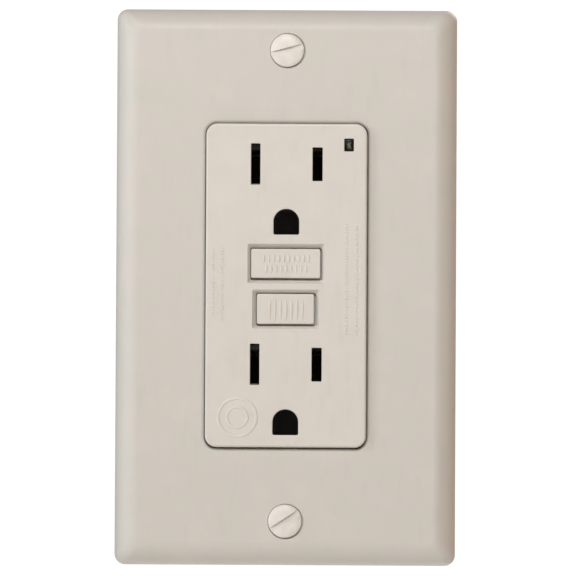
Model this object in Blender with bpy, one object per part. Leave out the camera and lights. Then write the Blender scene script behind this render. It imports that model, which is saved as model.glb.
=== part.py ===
"""Ground-fault receptacle with its decorator wall plate.

The wall is the plane y = 0, the room is at -y and the wall box at +y.
+x is the hot side, +z is up. The origin is the middle of the device on the wall plane.
"""

import math

import bmesh
import bpy
from mathutils import Matrix
from mathutils.geometry import tessellate_polygon

MM = 0.001
GAP = 0.3 * MM  # between pieces that rest on each other
FIT = 0.2 * MM  # running clearance of the face in the plate's window

# wall plate
PLATE_W = 69.85 * MM
PLATE_END = 8.73 * MM  # plate beyond a plate screw's centre
PLATE_DEPTH = 5.8 * MM
PLATE_WALL = 2.2 * MM
PLATE_CORNER = 2.2 * MM
PLATE_BEVEL = 4.4 * MM
PLATE_SCREW_HEAD = 7.1 * MM
SCREW_632 = 3.45 * MM  # outer diameter of a 6-32 thread
SCREW_632_HOLE = 4.1 * MM

# face and outlet pattern
FACE_W = 33.0 * MM
FACE_H = 66.5 * MM
FACE_CORNER = 2.3 * MM
FACE_PROUD = 1.1 * MM
FACE_WALL = 1.8 * MM
BLADE_X = 6.35 * MM
BLADE_GRIP = 1.7 * MM
CHUTE = 1.0 * MM  # wall round each opening behind the face
UPPER_BLADES = 24.9 * MM
LOWER_BLADES = -16.3 * MM
GROUND_DROP = 11.85 * MM
HOT_SLOT = (2.05 * MM, 6.9 * MM)
NEUTRAL_SLOT = (1.9 * MM, 8.45 * MM)
GROUND_HOLE = 5.28 * MM

# buttons, each with its width and height
RESET_SIZE = (14.2 * MM, 6.0 * MM)
RESET_WELL = (15.8 * MM, 8.1 * MM)
RESET_Z = 4.4 * MM
RESET_TRAVEL = 2.2 * MM
TEST_SIZE = (11.7 * MM, 6.2 * MM)
TEST_WELL = (13.8 * MM, 8.0 * MM)
TEST_Z = -4.95 * MM
TEST_TRAVEL = 1.8 * MM
BUTTON_FIT = 0.3 * MM
BUTTON_LIP = 0.7 * MM

# status light
LIGHT = (1.95 * MM, 2.6 * MM)
LIGHT_ROOM = 1.8 * MM  # light's centre beyond the frame's side
LIGHT_Z = 28.9 * MM
LIGHT_CHUTE = 0.9 * MM

# strap
STRAP_T = 1.2 * MM
STRAP_END = 4.08 * MM  # strap beyond a plate screw's centre
STRAP_EAR_W = 41.2 * MM
STRAP_EAR_ROUND = 4.0 * MM
BOX_SCREW_SLOT = 8.6 * MM
BOX_SCREW_HEAD = 6.6 * MM
BOX_SCREW_LENGTH = 22.0 * MM
BOX_SCREW_ROOM = 7.37 * MM  # box screw's centre beyond the case
PLATE_SCREW_STEP = 6.75 * MM  # plate screw's centre beyond the box screw's
WASHER = (8.0 * MM, 0.8 * MM)

# case: the case's width and depth follow from what it holds
BODY_H = 68.6 * MM
BODY_CORNER = 2.5 * MM
BODY_WALL = 1.6 * MM
FLANGE_T = 1.6 * MM
FLANGE_WALL = 1.3 * MM
WIRE_HOLE = 3.2 * MM
WIRE_HOLE_STEP = 3.4 * MM
COUNTERBORE = 2.5 * MM
SCREW_FIT = 0.35 * MM
FRAME_DEPTH = 16.0 * MM
FRAME_SIDE = 1.9 * MM
MECHANISM_ROOM = 7.6 * MM
CASE_SCREW = 2.6 * MM
CASE_POST = 4.6 * MM
BOARD_T = 1.6 * MM
BOARD_BACK_GAP = 0.7 * MM

# terminals, one in each corner
TERMINAL_Y = 11.3 * MM
TERMINAL_Z = 19.5 * MM
TERMINAL_SCREW = 4.1 * MM
TERMINAL_HEAD = 7.8 * MM
TERMINAL_HEAD_T = 2.4 * MM
TERMINAL_PLATE_T = 1.2 * MM
CLAMP_T = 1.4 * MM
CLAMP_GAP = 0.6 * MM
THREAD_PITCH = 0.79375 * MM
CLAMP_TRAVEL = 3 * THREAD_PITCH
TIP_CLEARANCE = 0.4 * MM
TIP_LENGTH = 0.8 * MM
HEAD_SINK = 0.8 * MM

# latch and contacts
LATCH_TRAVEL = 2.0 * MM
LATCH_BITE = 0.35 * MM
PLUNGER_STROKE = 2.2 * MM
PIN = 3.0 * MM
PIN_NECK = 1.6 * MM
SHEET = 0.8 * MM
ARM_T = 0.5 * MM
CONTACT_T = 0.5 * MM
CONTACT_Z = 8.0 * MM
COIL_Z = -21.0 * MM
ARM_ROOT_Z = -12.7 * MM
WAIST = 24.4 * MM  # height of the frame's wide middle
WELL_FLOOR = 6.4 * MM
CLIP_HALF = 3.0 * MM  # half the height of a blade grip
RAIL_FRONT = 8.7 * MM
RAIL_BACK = 12.7 * MM
GROUND_CLIP_HALF = GROUND_HOLE / 2 + 0.66 * MM
GROUND_SCREW_Y = 6.2 * MM

# levels from front to back, worked out from the sizes above
FACE_Y = -PLATE_DEPTH - FACE_PROUD
COVER_BACK = -STRAP_T - GAP
FRAME_FRONT = GAP
FRAME_BACK = FRAME_DEPTH
BOARD_FRONT = FRAME_BACK + MECHANISM_ROOM
BOARD_BACK = BOARD_FRONT + BOARD_T
BODY_DEPTH = BOARD_BACK + BOARD_BACK_GAP + BODY_WALL
TAB_Y = FRAME_BACK + GAP
FIXED_Y = TAB_Y + SHEET + GAP
MOVING_Y = FIXED_Y + CONTACT_T + GAP
ARM_Y = MOVING_Y + CONTACT_T + GAP
WING_Y = ARM_Y + ARM_T + GAP
LATCH_Y = ARM_Y + 0.2 * MM

# stations from the middle outwards on each side
RAIL_IN_X = BLADE_X + BLADE_GRIP / 2 + 1.1 * MM
RAIL_OUT_X = RAIL_IN_X + SHEET
FRAME_NARROW_W = 2 * (RAIL_OUT_X + FRAME_SIDE)
SCREW_TIP_X = FRAME_NARROW_W / 2 + TIP_CLEARANCE
CLAMP_OUT_X = SCREW_TIP_X + TIP_LENGTH + CLAMP_TRAVEL + CLAMP_T
PLATE_IN_X = CLAMP_OUT_X + CLAMP_GAP
PLATE_OUT_X = PLATE_IN_X + TERMINAL_PLATE_T
SCREW_SEAT_X = PLATE_OUT_X + GAP
SCREW_TOP_X = SCREW_SEAT_X + TERMINAL_HEAD_T
BODY_W = 2 * (SCREW_TOP_X + HEAD_SINK)
CASE_SCREW_X = BODY_W / 2 - 4.2 * MM
CASE_SCREW_Z = BODY_H / 2 - 4.4 * MM
STRAP_NECK_W = 2 * (CASE_SCREW_X - CASE_POST / 2 - 0.4 * MM)
LIGHT_X = FRAME_NARROW_W / 2 + LIGHT_ROOM

# stations from the case's end outwards
BOX_SCREW_Z = BODY_H / 2 + BOX_SCREW_ROOM
PLATE_SCREW_Z = BOX_SCREW_Z + PLATE_SCREW_STEP
STRAP_LENGTH = 2 * (PLATE_SCREW_Z + STRAP_END)
PLATE_H = 2 * (PLATE_SCREW_Z + PLATE_END)

# trip mechanism
ARM_X = RAIL_OUT_X + 3.5 * MM
LEAF_ROOT_X = -RAIL_IN_X - 0.7 * MM
LATCH_TOP = RESET_Z + PIN / 2 + LATCH_TRAVEL + 1.4 * MM
SOLENOID_LOW = LATCH_TOP + 1.1 * MM
SOLENOID_Y = LATCH_Y + SHEET / 2 + 0.2 * MM

SIDES = {"hot": 1, "neutral": -1}
ENDS = {"top": 1, "bottom": -1}


def rounded(width, height, radius, x=0, z=0, steps=4):
    """Outline of a rectangle whose corners are arcs."""
    points = []
    for corner, (sx, sz) in enumerate(((1, 1), (-1, 1), (-1, -1), (1, -1))):
        for step in range(steps + 1):
            turn = math.radians(90 * (corner + step / steps))
            points.append(
                (
                    x + sx * (width / 2 - radius) + radius * math.cos(turn),
                    z + sz * (height / 2 - radius) + radius * math.sin(turn),
                )
            )
    return points


def rectangle(x0, x1, z0, z1):
    return [(x0, z0), (x1, z0), (x1, z1), (x0, z1)]


def circle(radius, x=0, z=0, steps=20):
    turns = [math.tau * step / steps for step in range(steps)]
    return [(x + radius * math.cos(t), z + radius * math.sin(t)) for t in turns]


def mirrored(points):
    """An outline's right half, from bottom to top, closed by its mirror image."""
    return points + [(-x, z) for x, z in reversed(points)]


def on_axis(axis, u, v, along):
    """The place of an outline point (u, v) of a shape that runs along the axis."""
    return {"X": (along, u, v), "Y": (u, along, v), "Z": (u, v, along)}[axis]


def prism(mesh, axis, start, end, outline, *holes):
    """An outline, with its holes, extruded along an axis."""
    loops = [outline, *holes]
    flat = [point for loop in loops for point in loop]
    levels = [
        [mesh.verts.new(on_axis(axis, u, v, along)) for u, v in flat]
        for along in (start, end)
    ]
    corners = [range(len(flat))]
    if holes:
        corners = tessellate_polygon([[(u, v, 0) for u, v in loop] for loop in loops])
    for level in levels:
        for corner in corners:
            mesh.faces.new([level[index] for index in corner])
    first = 0
    for loop in loops:
        for step in range(len(loop)):
            a = first + step
            b = first + (step + 1) % len(loop)
            mesh.faces.new((levels[0][a], levels[0][b], levels[1][b], levels[1][a]))
        first += len(loop)


def box(mesh, x0, x1, y0, y1, z0, z1):
    prism(mesh, "Y", y0, y1, rectangle(x0, x1, z0, z1))


def loft(mesh, rings):
    """A skin over rings of equal length, closed at both ends."""
    levels = [[mesh.verts.new(point) for point in ring] for ring in rings]
    for low, high in zip(levels, levels[1:]):
        for step in range(len(low)):
            after = (step + 1) % len(low)
            mesh.faces.new((low[step], low[after], high[after], high[step]))
    mesh.faces.new(levels[0])
    mesh.faces.new(levels[-1])


def turned(mesh, axis, centre, profile, steps=20, ring=False):
    """A profile of (radius, along) points spun about an axis through the centre."""
    turns = [math.tau * step / steps for step in range(steps)]
    levels = []
    for radius, along in profile:
        around = turns if radius > 0 else turns[:1]
        levels.append(
            [
                mesh.verts.new(
                    on_axis(
                        axis,
                        centre[0] + radius * math.cos(turn),
                        centre[1] + radius * math.sin(turn),
                        along,
                    )
                )
                for turn in around
            ]
        )
    pairs = list(zip(levels, levels[1:]))
    if ring:
        pairs.append((levels[-1], levels[0]))
    for low, high in pairs:
        for step in range(steps):
            after = (step + 1) % steps
            loop = [low[step % len(low)], low[after % len(low)]]
            loop += [high[after % len(high)], high[step % len(high)]]
            mesh.faces.new(list(dict.fromkeys(loop)))


def coil_spring(mesh, centre, radius, wire, start, end, turns, axis="Y", around=12, sides=5):
    """A round wire wound about an axis, from start to end."""
    rings = []
    steps = round(turns * around)
    for step in range(steps + 1):
        share = step / steps
        turn = math.tau * turns * share
        along = start + wire / 2 + (end - start - wire) * share
        ring = []
        for side in range(sides):
            angle = math.tau * side / sides
            reach = radius + wire / 2 * math.cos(angle)
            ring.append(
                on_axis(
                    axis,
                    centre[0] + reach * math.cos(turn),
                    centre[1] + reach * math.sin(turn),
                    along + wire / 2 * math.sin(angle),
                )
            )
        rings.append(ring)
    loft(mesh, rings)


def clear_scene():
    for thing in list(bpy.data.objects):
        bpy.data.objects.remove(thing, do_unlink=True)


def material(name, colour, roughness, metallic=0.0):
    made = bpy.data.materials.new(name)
    made.use_nodes = True
    shader = made.node_tree.nodes["Principled BSDF"]
    shader.inputs["Base Color"].default_value = (*colour, 1)
    shader.inputs["Roughness"].default_value = roughness
    shader.inputs["Metallic"].default_value = metallic
    made.diffuse_color = (*colour, 1)
    return made


def finished(name, mesh, origin=(0, 0, 0)):
    """An object made of the mesh, with its origin at the given place."""
    bmesh.ops.recalc_face_normals(mesh, faces=mesh.faces)
    mesh.transform(Matrix.Translation([-value for value in origin]))
    data = bpy.data.meshes.new(name)
    mesh.to_mesh(data)
    mesh.free()
    made = bpy.data.objects.new(name, data)
    made.location = origin
    bpy.context.scene.collection.objects.link(made)
    return made


def piece(name, mesh, finish, origin=(0, 0, 0), smooth=False):
    made = finished(name, mesh, origin)
    made.data.materials.append(finish)
    if smooth:
        made.data.shade_smooth()
        made.data.set_sharp_from_angle(angle=math.radians(35))
    return made


def shaped(target, operation, mesh, solver="EXACT"):
    """Joins the mesh to the target or cuts it away, as a modifier of the target."""
    tool = finished(f"{target.name}_{operation.lower()}_{len(target.modifiers)}", mesh)
    tool.hide_render = True
    tool.display_type = "WIRE"
    step = target.modifiers.new(tool.name, "BOOLEAN")
    step.operation = operation
    step.solver = solver
    step.object = tool


def cut(target, mesh, solver="EXACT"):
    shaped(target, "DIFFERENCE", mesh, solver)


def join(target, mesh):
    shaped(target, "UNION", mesh)


def slotted(target, axis, centre, start, end, width, length, turn=0):
    """Cuts a screwdriver slot, turned about the screw's axis."""
    mesh = bmesh.new()
    c, s = math.cos(turn), math.sin(turn)
    outline = [
        (centre[0] + u * c - v * s, centre[1] + u * s + v * c)
        for u, v in rectangle(-length / 2, length / 2, -width / 2, width / 2)
    ]
    prism(mesh, axis, start, end, outline)
    cut(target, mesh)


# ---- wall plate and its screws


def plate_section(inset, y, radius):
    outline = rounded(PLATE_W - 2 * inset, PLATE_H - 2 * inset, radius)
    return [(x, y, z) for x, z in outline]


def wall_plate(finish):
    outer = bmesh.new()
    rise = 0.4 * PLATE_BEVEL
    loft(
        outer,
        [
            plate_section(0, 0, PLATE_CORNER),
            plate_section(0, -1.2 * MM, PLATE_CORNER),
            plate_section(0.5 * MM, -2.7 * MM, PLATE_CORNER),
            plate_section(PLATE_BEVEL - 1.2 * MM, 0.4 * MM - PLATE_DEPTH, 0.8 * PLATE_CORNER),
            plate_section(PLATE_BEVEL, -PLATE_DEPTH, 0.6 * PLATE_CORNER),
        ],
    )
    plate = piece("wall_plate", outer, finish)
    inside = bmesh.new()
    loft(
        inside,
        [
            plate_section(PLATE_WALL - 0.5 * MM, 1 * MM, PLATE_CORNER / 2),
            plate_section(PLATE_WALL - 0.5 * MM, -0.6 * MM, PLATE_CORNER / 2),
            plate_section(PLATE_WALL + 0.3 * MM, -rise, PLATE_CORNER / 2),
            plate_section(PLATE_BEVEL + 0.7 * MM, PLATE_WALL - PLATE_DEPTH, PLATE_CORNER / 2),
        ],
    )
    cut(plate, inside)
    window = bmesh.new()
    outline = rounded(FACE_W + 2 * FIT, FACE_H + 2 * FIT, FACE_CORNER + FIT)
    prism(window, "Y", -2 * PLATE_DEPTH, 1 * MM, outline)
    cut(plate, window)
    head = PLATE_SCREW_HEAD / 2 + GAP
    bore = SCREW_632_HOLE / 2
    holes = bmesh.new()
    for end in ENDS.values():
        profile = [(0, -PLATE_DEPTH - 1 * MM), (head, -PLATE_DEPTH - 1 * MM)]
        profile += [(head, -PLATE_DEPTH + 0.1 * MM), (bore, 2 * MM - PLATE_DEPTH)]
        profile += [(bore, 1 * MM), (0, 1 * MM)]
        turned(holes, "Y", (0, end * PLATE_SCREW_Z), profile)
    cut(plate, holes)


def plate_screws(finish):
    head = PLATE_SCREW_HEAD / 2
    shank = SCREW_632 / 2
    top = -PLATE_DEPTH
    slot_turns = {"top": math.radians(15), "bottom": math.radians(33)}
    for name, end in ENDS.items():
        z = end * PLATE_SCREW_Z
        profile = [(0, top - 0.75 * MM), (0.5 * head, top - 0.6 * MM), (0.88 * head, top - 0.2 * MM)]
        profile += [(head, top + 0.05 * MM), (head, top + 0.2 * MM), (shank, top + 1.9 * MM)]
        profile += [(shank, top + 12.0 * MM), (0.7 * shank, top + 12.7 * MM), (0, top + 12.7 * MM)]
        mesh = bmesh.new()
        turned(mesh, "Y", (0, z), profile)
        screw = piece(f"plate_screw_{name}", mesh, finish, (0, top, z), smooth=True)
        slot = (1.15 * MM, 9 * MM)
        slotted(screw, "Y", (0, z), top - 2 * MM, top + 0.5 * MM, *slot, slot_turns[name])


# ---- face cover, buttons and status light


def slot_outline(size, x, z, grow=0):
    return rectangle(
        x - size[0] / 2 - grow, x + size[0] / 2 + grow, z - size[1] / 2 - grow, z + size[1] / 2 + grow
    )


def ground_outline(x, z, grow=0):
    """A D on its side: flat below, half round above."""
    radius = GROUND_HOLE / 2 + grow
    arc = [math.pi * step / 12 for step in range(13)]
    return [(x + radius * math.cos(t), z + radius * math.sin(t)) for t in arc] + [
        (x - radius, z - radius),
        (x + radius, z - radius),
    ]


def outlet_openings(grow=0):
    """Outlines of the six holes of the two outlets."""
    found = []
    for row in (UPPER_BLADES, LOWER_BLADES):
        found.append(slot_outline(HOT_SLOT, BLADE_X, row, grow))
        found.append(slot_outline(NEUTRAL_SLOT, -BLADE_X, row, grow))
        found.append(ground_outline(0, row - GROUND_DROP, grow))
    return found


def button_well(mesh, size, well, z):
    """A hole for a button, with sloping sides down from the face."""
    width = size[0] + 2 * BUTTON_FIT
    height = size[1] + 2 * BUTTON_FIT
    levels = [
        (well[0], well[1], FACE_Y - 0.5 * MM),
        (well[0], well[1], FACE_Y + 0.1 * MM),
        (width, height, FACE_Y + 1.2 * MM),
        (width, height, FACE_Y + FACE_WALL + 0.5 * MM),
    ]
    loft(
        mesh,
        [[(x, y, v) for x, v in rounded(w, h, 0.5 * MM, 0, z, 2)] for w, h, y in levels],
    )


def face_cover(finish):
    block = bmesh.new()
    outline = rounded(FACE_W, FACE_H, FACE_CORNER)
    soft = rounded(FACE_W - 0.8 * MM, FACE_H - 0.8 * MM, FACE_CORNER - 0.4 * MM)
    loft(
        block,
        [
            [(x, FACE_Y, z) for x, z in soft],
            [(x, FACE_Y + 0.4 * MM, z) for x, z in outline],
            [(x, COVER_BACK, z) for x, z in outline],
        ],
    )
    cover = piece("face_cover", block, finish)
    flange = bmesh.new()
    flange_front = COVER_BACK - FLANGE_T
    prism(flange, "Y", flange_front, 0, rounded(BODY_W, BODY_H, 2.0 * MM))
    join(cover, flange)
    skirt = bmesh.new()
    inner = rounded(BODY_W - 2 * FLANGE_WALL, BODY_H - 2 * FLANGE_WALL, 1.0 * MM)
    prism(skirt, "Y", COVER_BACK, 1 * MM, inner)
    cut(cover, skirt)
    doorway = bmesh.new()
    half = STRAP_NECK_W / 2 + GAP
    box(doorway, -half, half, COVER_BACK, 1 * MM, -BODY_H, BODY_H)
    cut(cover, doorway)
    cavity = bmesh.new()
    room = rounded(FACE_W - 2 * BODY_WALL, FACE_H - 2 * BODY_WALL, 1.0 * MM)
    chutes = outlet_openings(CHUTE)
    chutes.append(slot_outline(LIGHT, LIGHT_X, LIGHT_Z, LIGHT_CHUTE))
    prism(cavity, "Y", FACE_Y + FACE_WALL, 2 * MM, room, *chutes)
    cut(cover, cavity, "MANIFOLD")
    posts = bmesh.new()
    for x in (-CASE_SCREW_X, CASE_SCREW_X):
        for z in (-CASE_SCREW_Z, CASE_SCREW_Z):
            post_end = FRAME_DEPTH / 2 + 0.7 * MM
            bore = CASE_SCREW / 2 + SCREW_FIT
            profile = [(0, flange_front + 0.4 * MM), (CASE_POST / 2, flange_front + 0.4 * MM)]
            profile += [(CASE_POST / 2, post_end), (bore, post_end), (bore, 0), (0, 0)]
            turned(posts, "Y", (x, z), profile, 16)
    join(cover, posts)
    openings = bmesh.new()
    for opening in outlet_openings():
        prism(openings, "Y", 2 * FACE_Y, 2 * MM, opening)
    prism(openings, "Y", 2 * FACE_Y, 2 * MM, slot_outline(LIGHT, LIGHT_X, LIGHT_Z))
    button_well(openings, RESET_SIZE, RESET_WELL, RESET_Z)
    button_well(openings, TEST_SIZE, TEST_WELL, TEST_Z)
    cut(cover, openings)


def button(name, size, z, finish):
    """A cap with a retaining lip behind the face."""
    front = FACE_Y + 0.35 * MM
    lip_front = FACE_Y + FACE_WALL + GAP
    mesh = bmesh.new()
    levels = [(0.35 * MM, front), (0, front + 0.35 * MM), (0, lip_front)]
    rings = []
    for inset, y in levels:
        outline = rounded(size[0] - 2 * inset, size[1] - 2 * inset, 0.4 * MM, 0, z, 2)
        rings.append([(x, y, v) for x, v in outline])
    for y in (lip_front, lip_front + 1.2 * MM):
        outline = rounded(size[0] + 2 * BUTTON_LIP, size[1] + 2 * BUTTON_LIP, 0.4 * MM, 0, z, 2)
        rings.append([(x, y, v) for x, v in outline])
    loft(mesh, rings)
    return piece(name, mesh, finish, (0, front, z)), lip_front + 1.2 * MM


def reset_group(plastic, steel):
    made, back = button("reset_button", RESET_SIZE, RESET_Z, plastic)
    socket = bmesh.new()
    socket_floor = back - 1.8 * MM
    prism(socket, "Y", socket_floor, back + 1 * MM, circle(PIN / 2 + GAP, 0, RESET_Z, 16))
    cut(made, socket)
    neck = PIN_NECK / 2
    body = PIN / 2
    shoulder = LATCH_Y + SHEET + LATCH_BITE
    neck_top = LATCH_Y - RESET_TRAVEL - 0.6 * MM
    profile = [(0, socket_floor + GAP), (body, socket_floor + GAP), (body, neck_top - 0.5 * MM)]
    profile += [(neck, neck_top), (neck, shoulder), (body, shoulder), (body, shoulder + 1.1 * MM)]
    profile += [(0.5 * body, shoulder + 1.9 * MM), (0, shoulder + 1.9 * MM)]
    mesh = bmesh.new()
    turned(mesh, "Y", (0, RESET_Z), profile, 16)
    piece("reset_shaft", mesh, steel, (0, 0, RESET_Z), smooth=True)
    spring = bmesh.new()
    seat = WELL_FLOOR - GAP
    coil_spring(spring, (0, RESET_Z), 2.4 * MM, 0.6 * MM, back + GAP, seat, 5.5)
    piece("reset_spring", spring, steel, (0, seat, RESET_Z), smooth=True)


def test_group(plastic, spring_steel):
    made, back = button("test_button", TEST_SIZE, TEST_Z, plastic)
    stem = bmesh.new()
    foot = 2.3 * MM
    prism(stem, "Y", back - 0.6 * MM, foot, circle(1.5 * MM, 0, TEST_Z, 16))
    join(made, stem)
    leaf = bmesh.new()
    root = LEAF_ROOT_X - 0.8 * MM
    box(leaf, root, 4.0 * MM, foot + GAP, foot + 2 * GAP, TEST_Z - 1.6 * MM, TEST_Z + 1.4 * MM)
    piece("test_leaf", leaf, spring_steel, (LEAF_ROOT_X, foot + 1.5 * GAP, TEST_Z))


def status_light(clear):
    mesh = bmesh.new()
    inset = 0.15 * MM
    outline = slot_outline(LIGHT, LIGHT_X, LIGHT_Z, -inset)
    prism(mesh, "Y", FACE_Y + 0.1 * MM, BOARD_FRONT - 2.1 * MM, outline)
    piece("status_light_pipe", mesh, clear)


# ---- strap, box screws and ground clips


def strap_half():
    """The strap's right edge from bottom to top: wide ears, narrow neck inside the case."""
    neck = STRAP_NECK_W / 2
    ear = STRAP_EAR_W / 2
    start = BODY_H / 2 + 0.9 * MM
    end = STRAP_LENGTH / 2
    round_off = STRAP_EAR_ROUND
    upper = [(neck, start), (ear, start + 1.6 * MM)]
    for step in range(5):
        turn = math.radians(90 * step / 4)
        upper.append(
            (ear - round_off * (1 - math.cos(turn)), end - round_off * (1 - math.sin(turn)))
        )
    return [(x, -z) for x, z in reversed(upper)] + upper


def strap(steel):
    hole = SCREW_632_HOLE / 2
    holes = []
    for end in ENDS.values():
        holes.append(circle(hole, 0, end * PLATE_SCREW_Z, 16))
        holes.append(rounded(BOX_SCREW_SLOT, 2 * hole, hole - 0.01 * MM, 0, end * BOX_SCREW_Z))
    for row in (UPPER_BLADES, LOWER_BLADES):
        half = BLADE_X + 3.25 * MM
        holes.append(rounded(2 * half, NEUTRAL_SLOT[1] + 3.15 * MM, 1.0 * MM, 0, row + FIT, 2))
        holes.append(circle(GROUND_HOLE / 2 + 0.8 * MM, 0, row - GROUND_DROP))
    top = RESET_Z + RESET_SIZE[1] / 2 + BUTTON_LIP + 0.5 * MM
    bottom = TEST_Z - TEST_SIZE[1] / 2 - BUTTON_LIP - 0.5 * MM
    wide = 2 * (1.8 * MM - LEAF_ROOT_X)
    holes.append(rounded(wide, top - bottom, 1.0 * MM, 0, (top + bottom) / 2, 2))
    mesh = bmesh.new()
    prism(mesh, "Y", -STRAP_T, 0, mirrored(strap_half()), *holes)
    made = piece("mounting_strap", mesh, steel)
    notch = bmesh.new()
    reach = LIGHT[0] / 2 + 0.6 * MM
    rise = LIGHT[1] / 2 + 0.6 * MM
    box(notch, LIGHT_X - reach, STRAP_NECK_W, -3 * MM, 1 * MM, LIGHT_Z - rise, LIGHT_Z + rise)
    cut(made, notch)
    tab = bmesh.new()
    side = STRAP_EAR_W / 2 - 3.2 * MM
    low = BODY_H / 2 + 3.0 * MM
    hole_at = (GROUND_SCREW_Y, -low - 3.8 * MM)
    prism(
        tab,
        "X",
        -side,
        STRAP_T - side,
        rectangle(-STRAP_T / 2, GROUND_SCREW_Y + 4.0 * MM, -low - 7.6 * MM, -low),
        circle(TERMINAL_SCREW / 2 + GAP, *hole_at, 16),
    )
    join(made, tab)
    screw = bmesh.new()
    head = TERMINAL_HEAD / 2
    shank = TERMINAL_SCREW / 2
    seat = -side - GAP
    profile = [(0, seat - 2.2 * MM), (0.85 * head, seat - 2.2 * MM), (head, seat - 1.6 * MM)]
    profile += [(head, seat), (shank, seat), (shank, seat + 6.0 * MM), (0, seat + 6.0 * MM)]
    turned(screw, "X", hole_at, profile)
    made = piece("ground_screw", screw, material("green_zinc", (0.05, 0.22, 0.09), 0.4, 0.8),
                 (seat, *hole_at), smooth=True)
    slotted(made, "X", hole_at, seat - 4 * MM, seat - 1.2 * MM, 1.2 * MM, 10 * MM)


def box_screws(steel, fibre):
    head = BOX_SCREW_HEAD / 2
    shank = SCREW_632 / 2
    seat = -STRAP_T - GAP
    tip = BOX_SCREW_LENGTH
    for name, end in ENDS.items():
        z = end * BOX_SCREW_Z
        profile = [(0, seat - 1.6 * MM), (0.7 * head, seat - 1.4 * MM), (head, seat - 0.6 * MM)]
        profile += [(head, seat), (shank, seat), (shank, tip - 1 * MM), (0.6 * shank, tip), (0, tip)]
        mesh = bmesh.new()
        turned(mesh, "Y", (0, z), profile, 16)
        made = piece(f"mounting_screw_{name}", mesh, steel, (0, seat, z), smooth=True)
        slotted(made, "Y", (0, z), seat - 3 * MM, seat - 0.7 * MM, 1.1 * MM, 8 * MM)
        washer = bmesh.new()
        outline = rounded(WASHER[0], WASHER[0], 0.6 * MM, 0, z, 2)
        prism(washer, "Y", GAP, GAP + WASHER[1], outline, circle(shank + GAP, 0, z, 16))
        piece(f"retainer_washer_{name}", washer, fibre)


def ground_clips(brass):
    half = GROUND_CLIP_HALF
    for name, row in (("upper", UPPER_BLADES), ("lower", LOWER_BLADES)):
        z = row - GROUND_DROP
        mesh = bmesh.new()
        outline = rectangle(-half, half, z - half + GAP, z + half - GAP)
        prism(mesh, "Y", FRAME_FRONT, FRAME_FRONT + SHEET, outline, ground_outline(0, z, GAP))
        clip = piece(f"ground_clip_{name}", mesh, brass)
        leaf_length = FRAME_DEPTH - 3.5 * MM
        reach = half - 0.8 * MM
        for side in SIDES.values():
            leaf = bmesh.new()
            inner = side * (GROUND_HOLE / 2 - 0.1 * MM)
            outer = side * (half - 0.15 * MM)
            box(leaf, inner, outer, FRAME_FRONT + SHEET / 2, leaf_length, z - reach, z + reach)
            join(clip, leaf)


# ---- case


def cross(wide, narrow, waist, height):
    """A cross outline: wide across the middle, narrow above and below."""
    half = [(narrow / 2, -height / 2), (narrow / 2, -waist / 2), (wide / 2, -waist / 2)]
    return mirrored(half + [(x, -z) for x, z in reversed(half)])


def rear_housing(finish):
    shell = bmesh.new()
    prism(shell, "Y", GAP, BODY_DEPTH, rounded(BODY_W, BODY_H, BODY_CORNER))
    made = piece("rear_housing", shell, finish)
    room = bmesh.new()
    floor = BODY_DEPTH - BODY_WALL
    inner = rounded(BODY_W - 2 * BODY_WALL, BODY_H - 2 * BODY_WALL, 1.2 * MM)
    prism(room, "Y", -1 * MM, floor, inner)
    cut(made, room)
    columns = bmesh.new()
    column_front = FRAME_DEPTH / 2 + 1.0 * MM
    for sx in (-1, 1):
        for sz in (-1, 1):
            near_x = sx * (CASE_SCREW_X - CASE_POST / 2)
            near_z = sz * (CASE_SCREW_Z - CASE_POST / 2)
            far_x = sx * (BODY_W / 2 - BODY_WALL / 2)
            far_z = sz * (BODY_H / 2 - BODY_WALL / 2)
            box(columns, near_x, far_x, column_front, BODY_DEPTH - 0.8 * MM, near_z, far_z)
    join(made, columns)
    pads = bmesh.new()
    for x in (-10 * MM, 10 * MM):
        for z in (-BODY_H / 2 + 6 * MM, BODY_H / 2 - 6 * MM):
            front = BOARD_BACK + GAP
            box(pads, x - 1.5 * MM, x + 1.5 * MM, front, BODY_DEPTH - 0.8 * MM, z - 2 * MM, z + 2 * MM)
    join(made, pads)
    openings = bmesh.new()
    for sz in (-1, 1):
        for sx in (-1, 1):
            bore = CASE_SCREW / 2 + SCREW_FIT
            counter = CASE_SCREW + 0.6 * MM
            back = BODY_DEPTH
            step = back - COUNTERBORE
            profile = [(0, column_front - 1 * MM), (bore, column_front - 1 * MM), (bore, step)]
            profile += [(counter, step), (counter, back + 1 * MM), (0, back + 1 * MM)]
            turned(openings, "Y", (sx * CASE_SCREW_X, sz * CASE_SCREW_Z), profile, 16)
            wire_x = sx * (PLATE_IN_X - 1.5 * MM)
            for offset in (-WIRE_HOLE_STEP, WIRE_HOLE_STEP):
                hole = circle(WIRE_HOLE / 2, wire_x, sz * TERMINAL_Z + offset, 12)
                prism(openings, "Y", back - 2 * BODY_WALL, back + 1 * MM, hole)
            inner_x = sx * (BODY_W / 2 - 2 * BODY_WALL)
            outer_x = sx * (BODY_W / 2 + 1 * MM)
            low, high = TERMINAL_Y - 5.1 * MM, TERMINAL_Y + 5.1 * MM
            near_z = sz * (TERMINAL_Z - 5.3 * MM)
            far_z = sz * (TERMINAL_Z + 5.3 * MM)
            box(openings, inner_x, outer_x, low, high, near_z, far_z)
    cut(made, openings)


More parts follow.
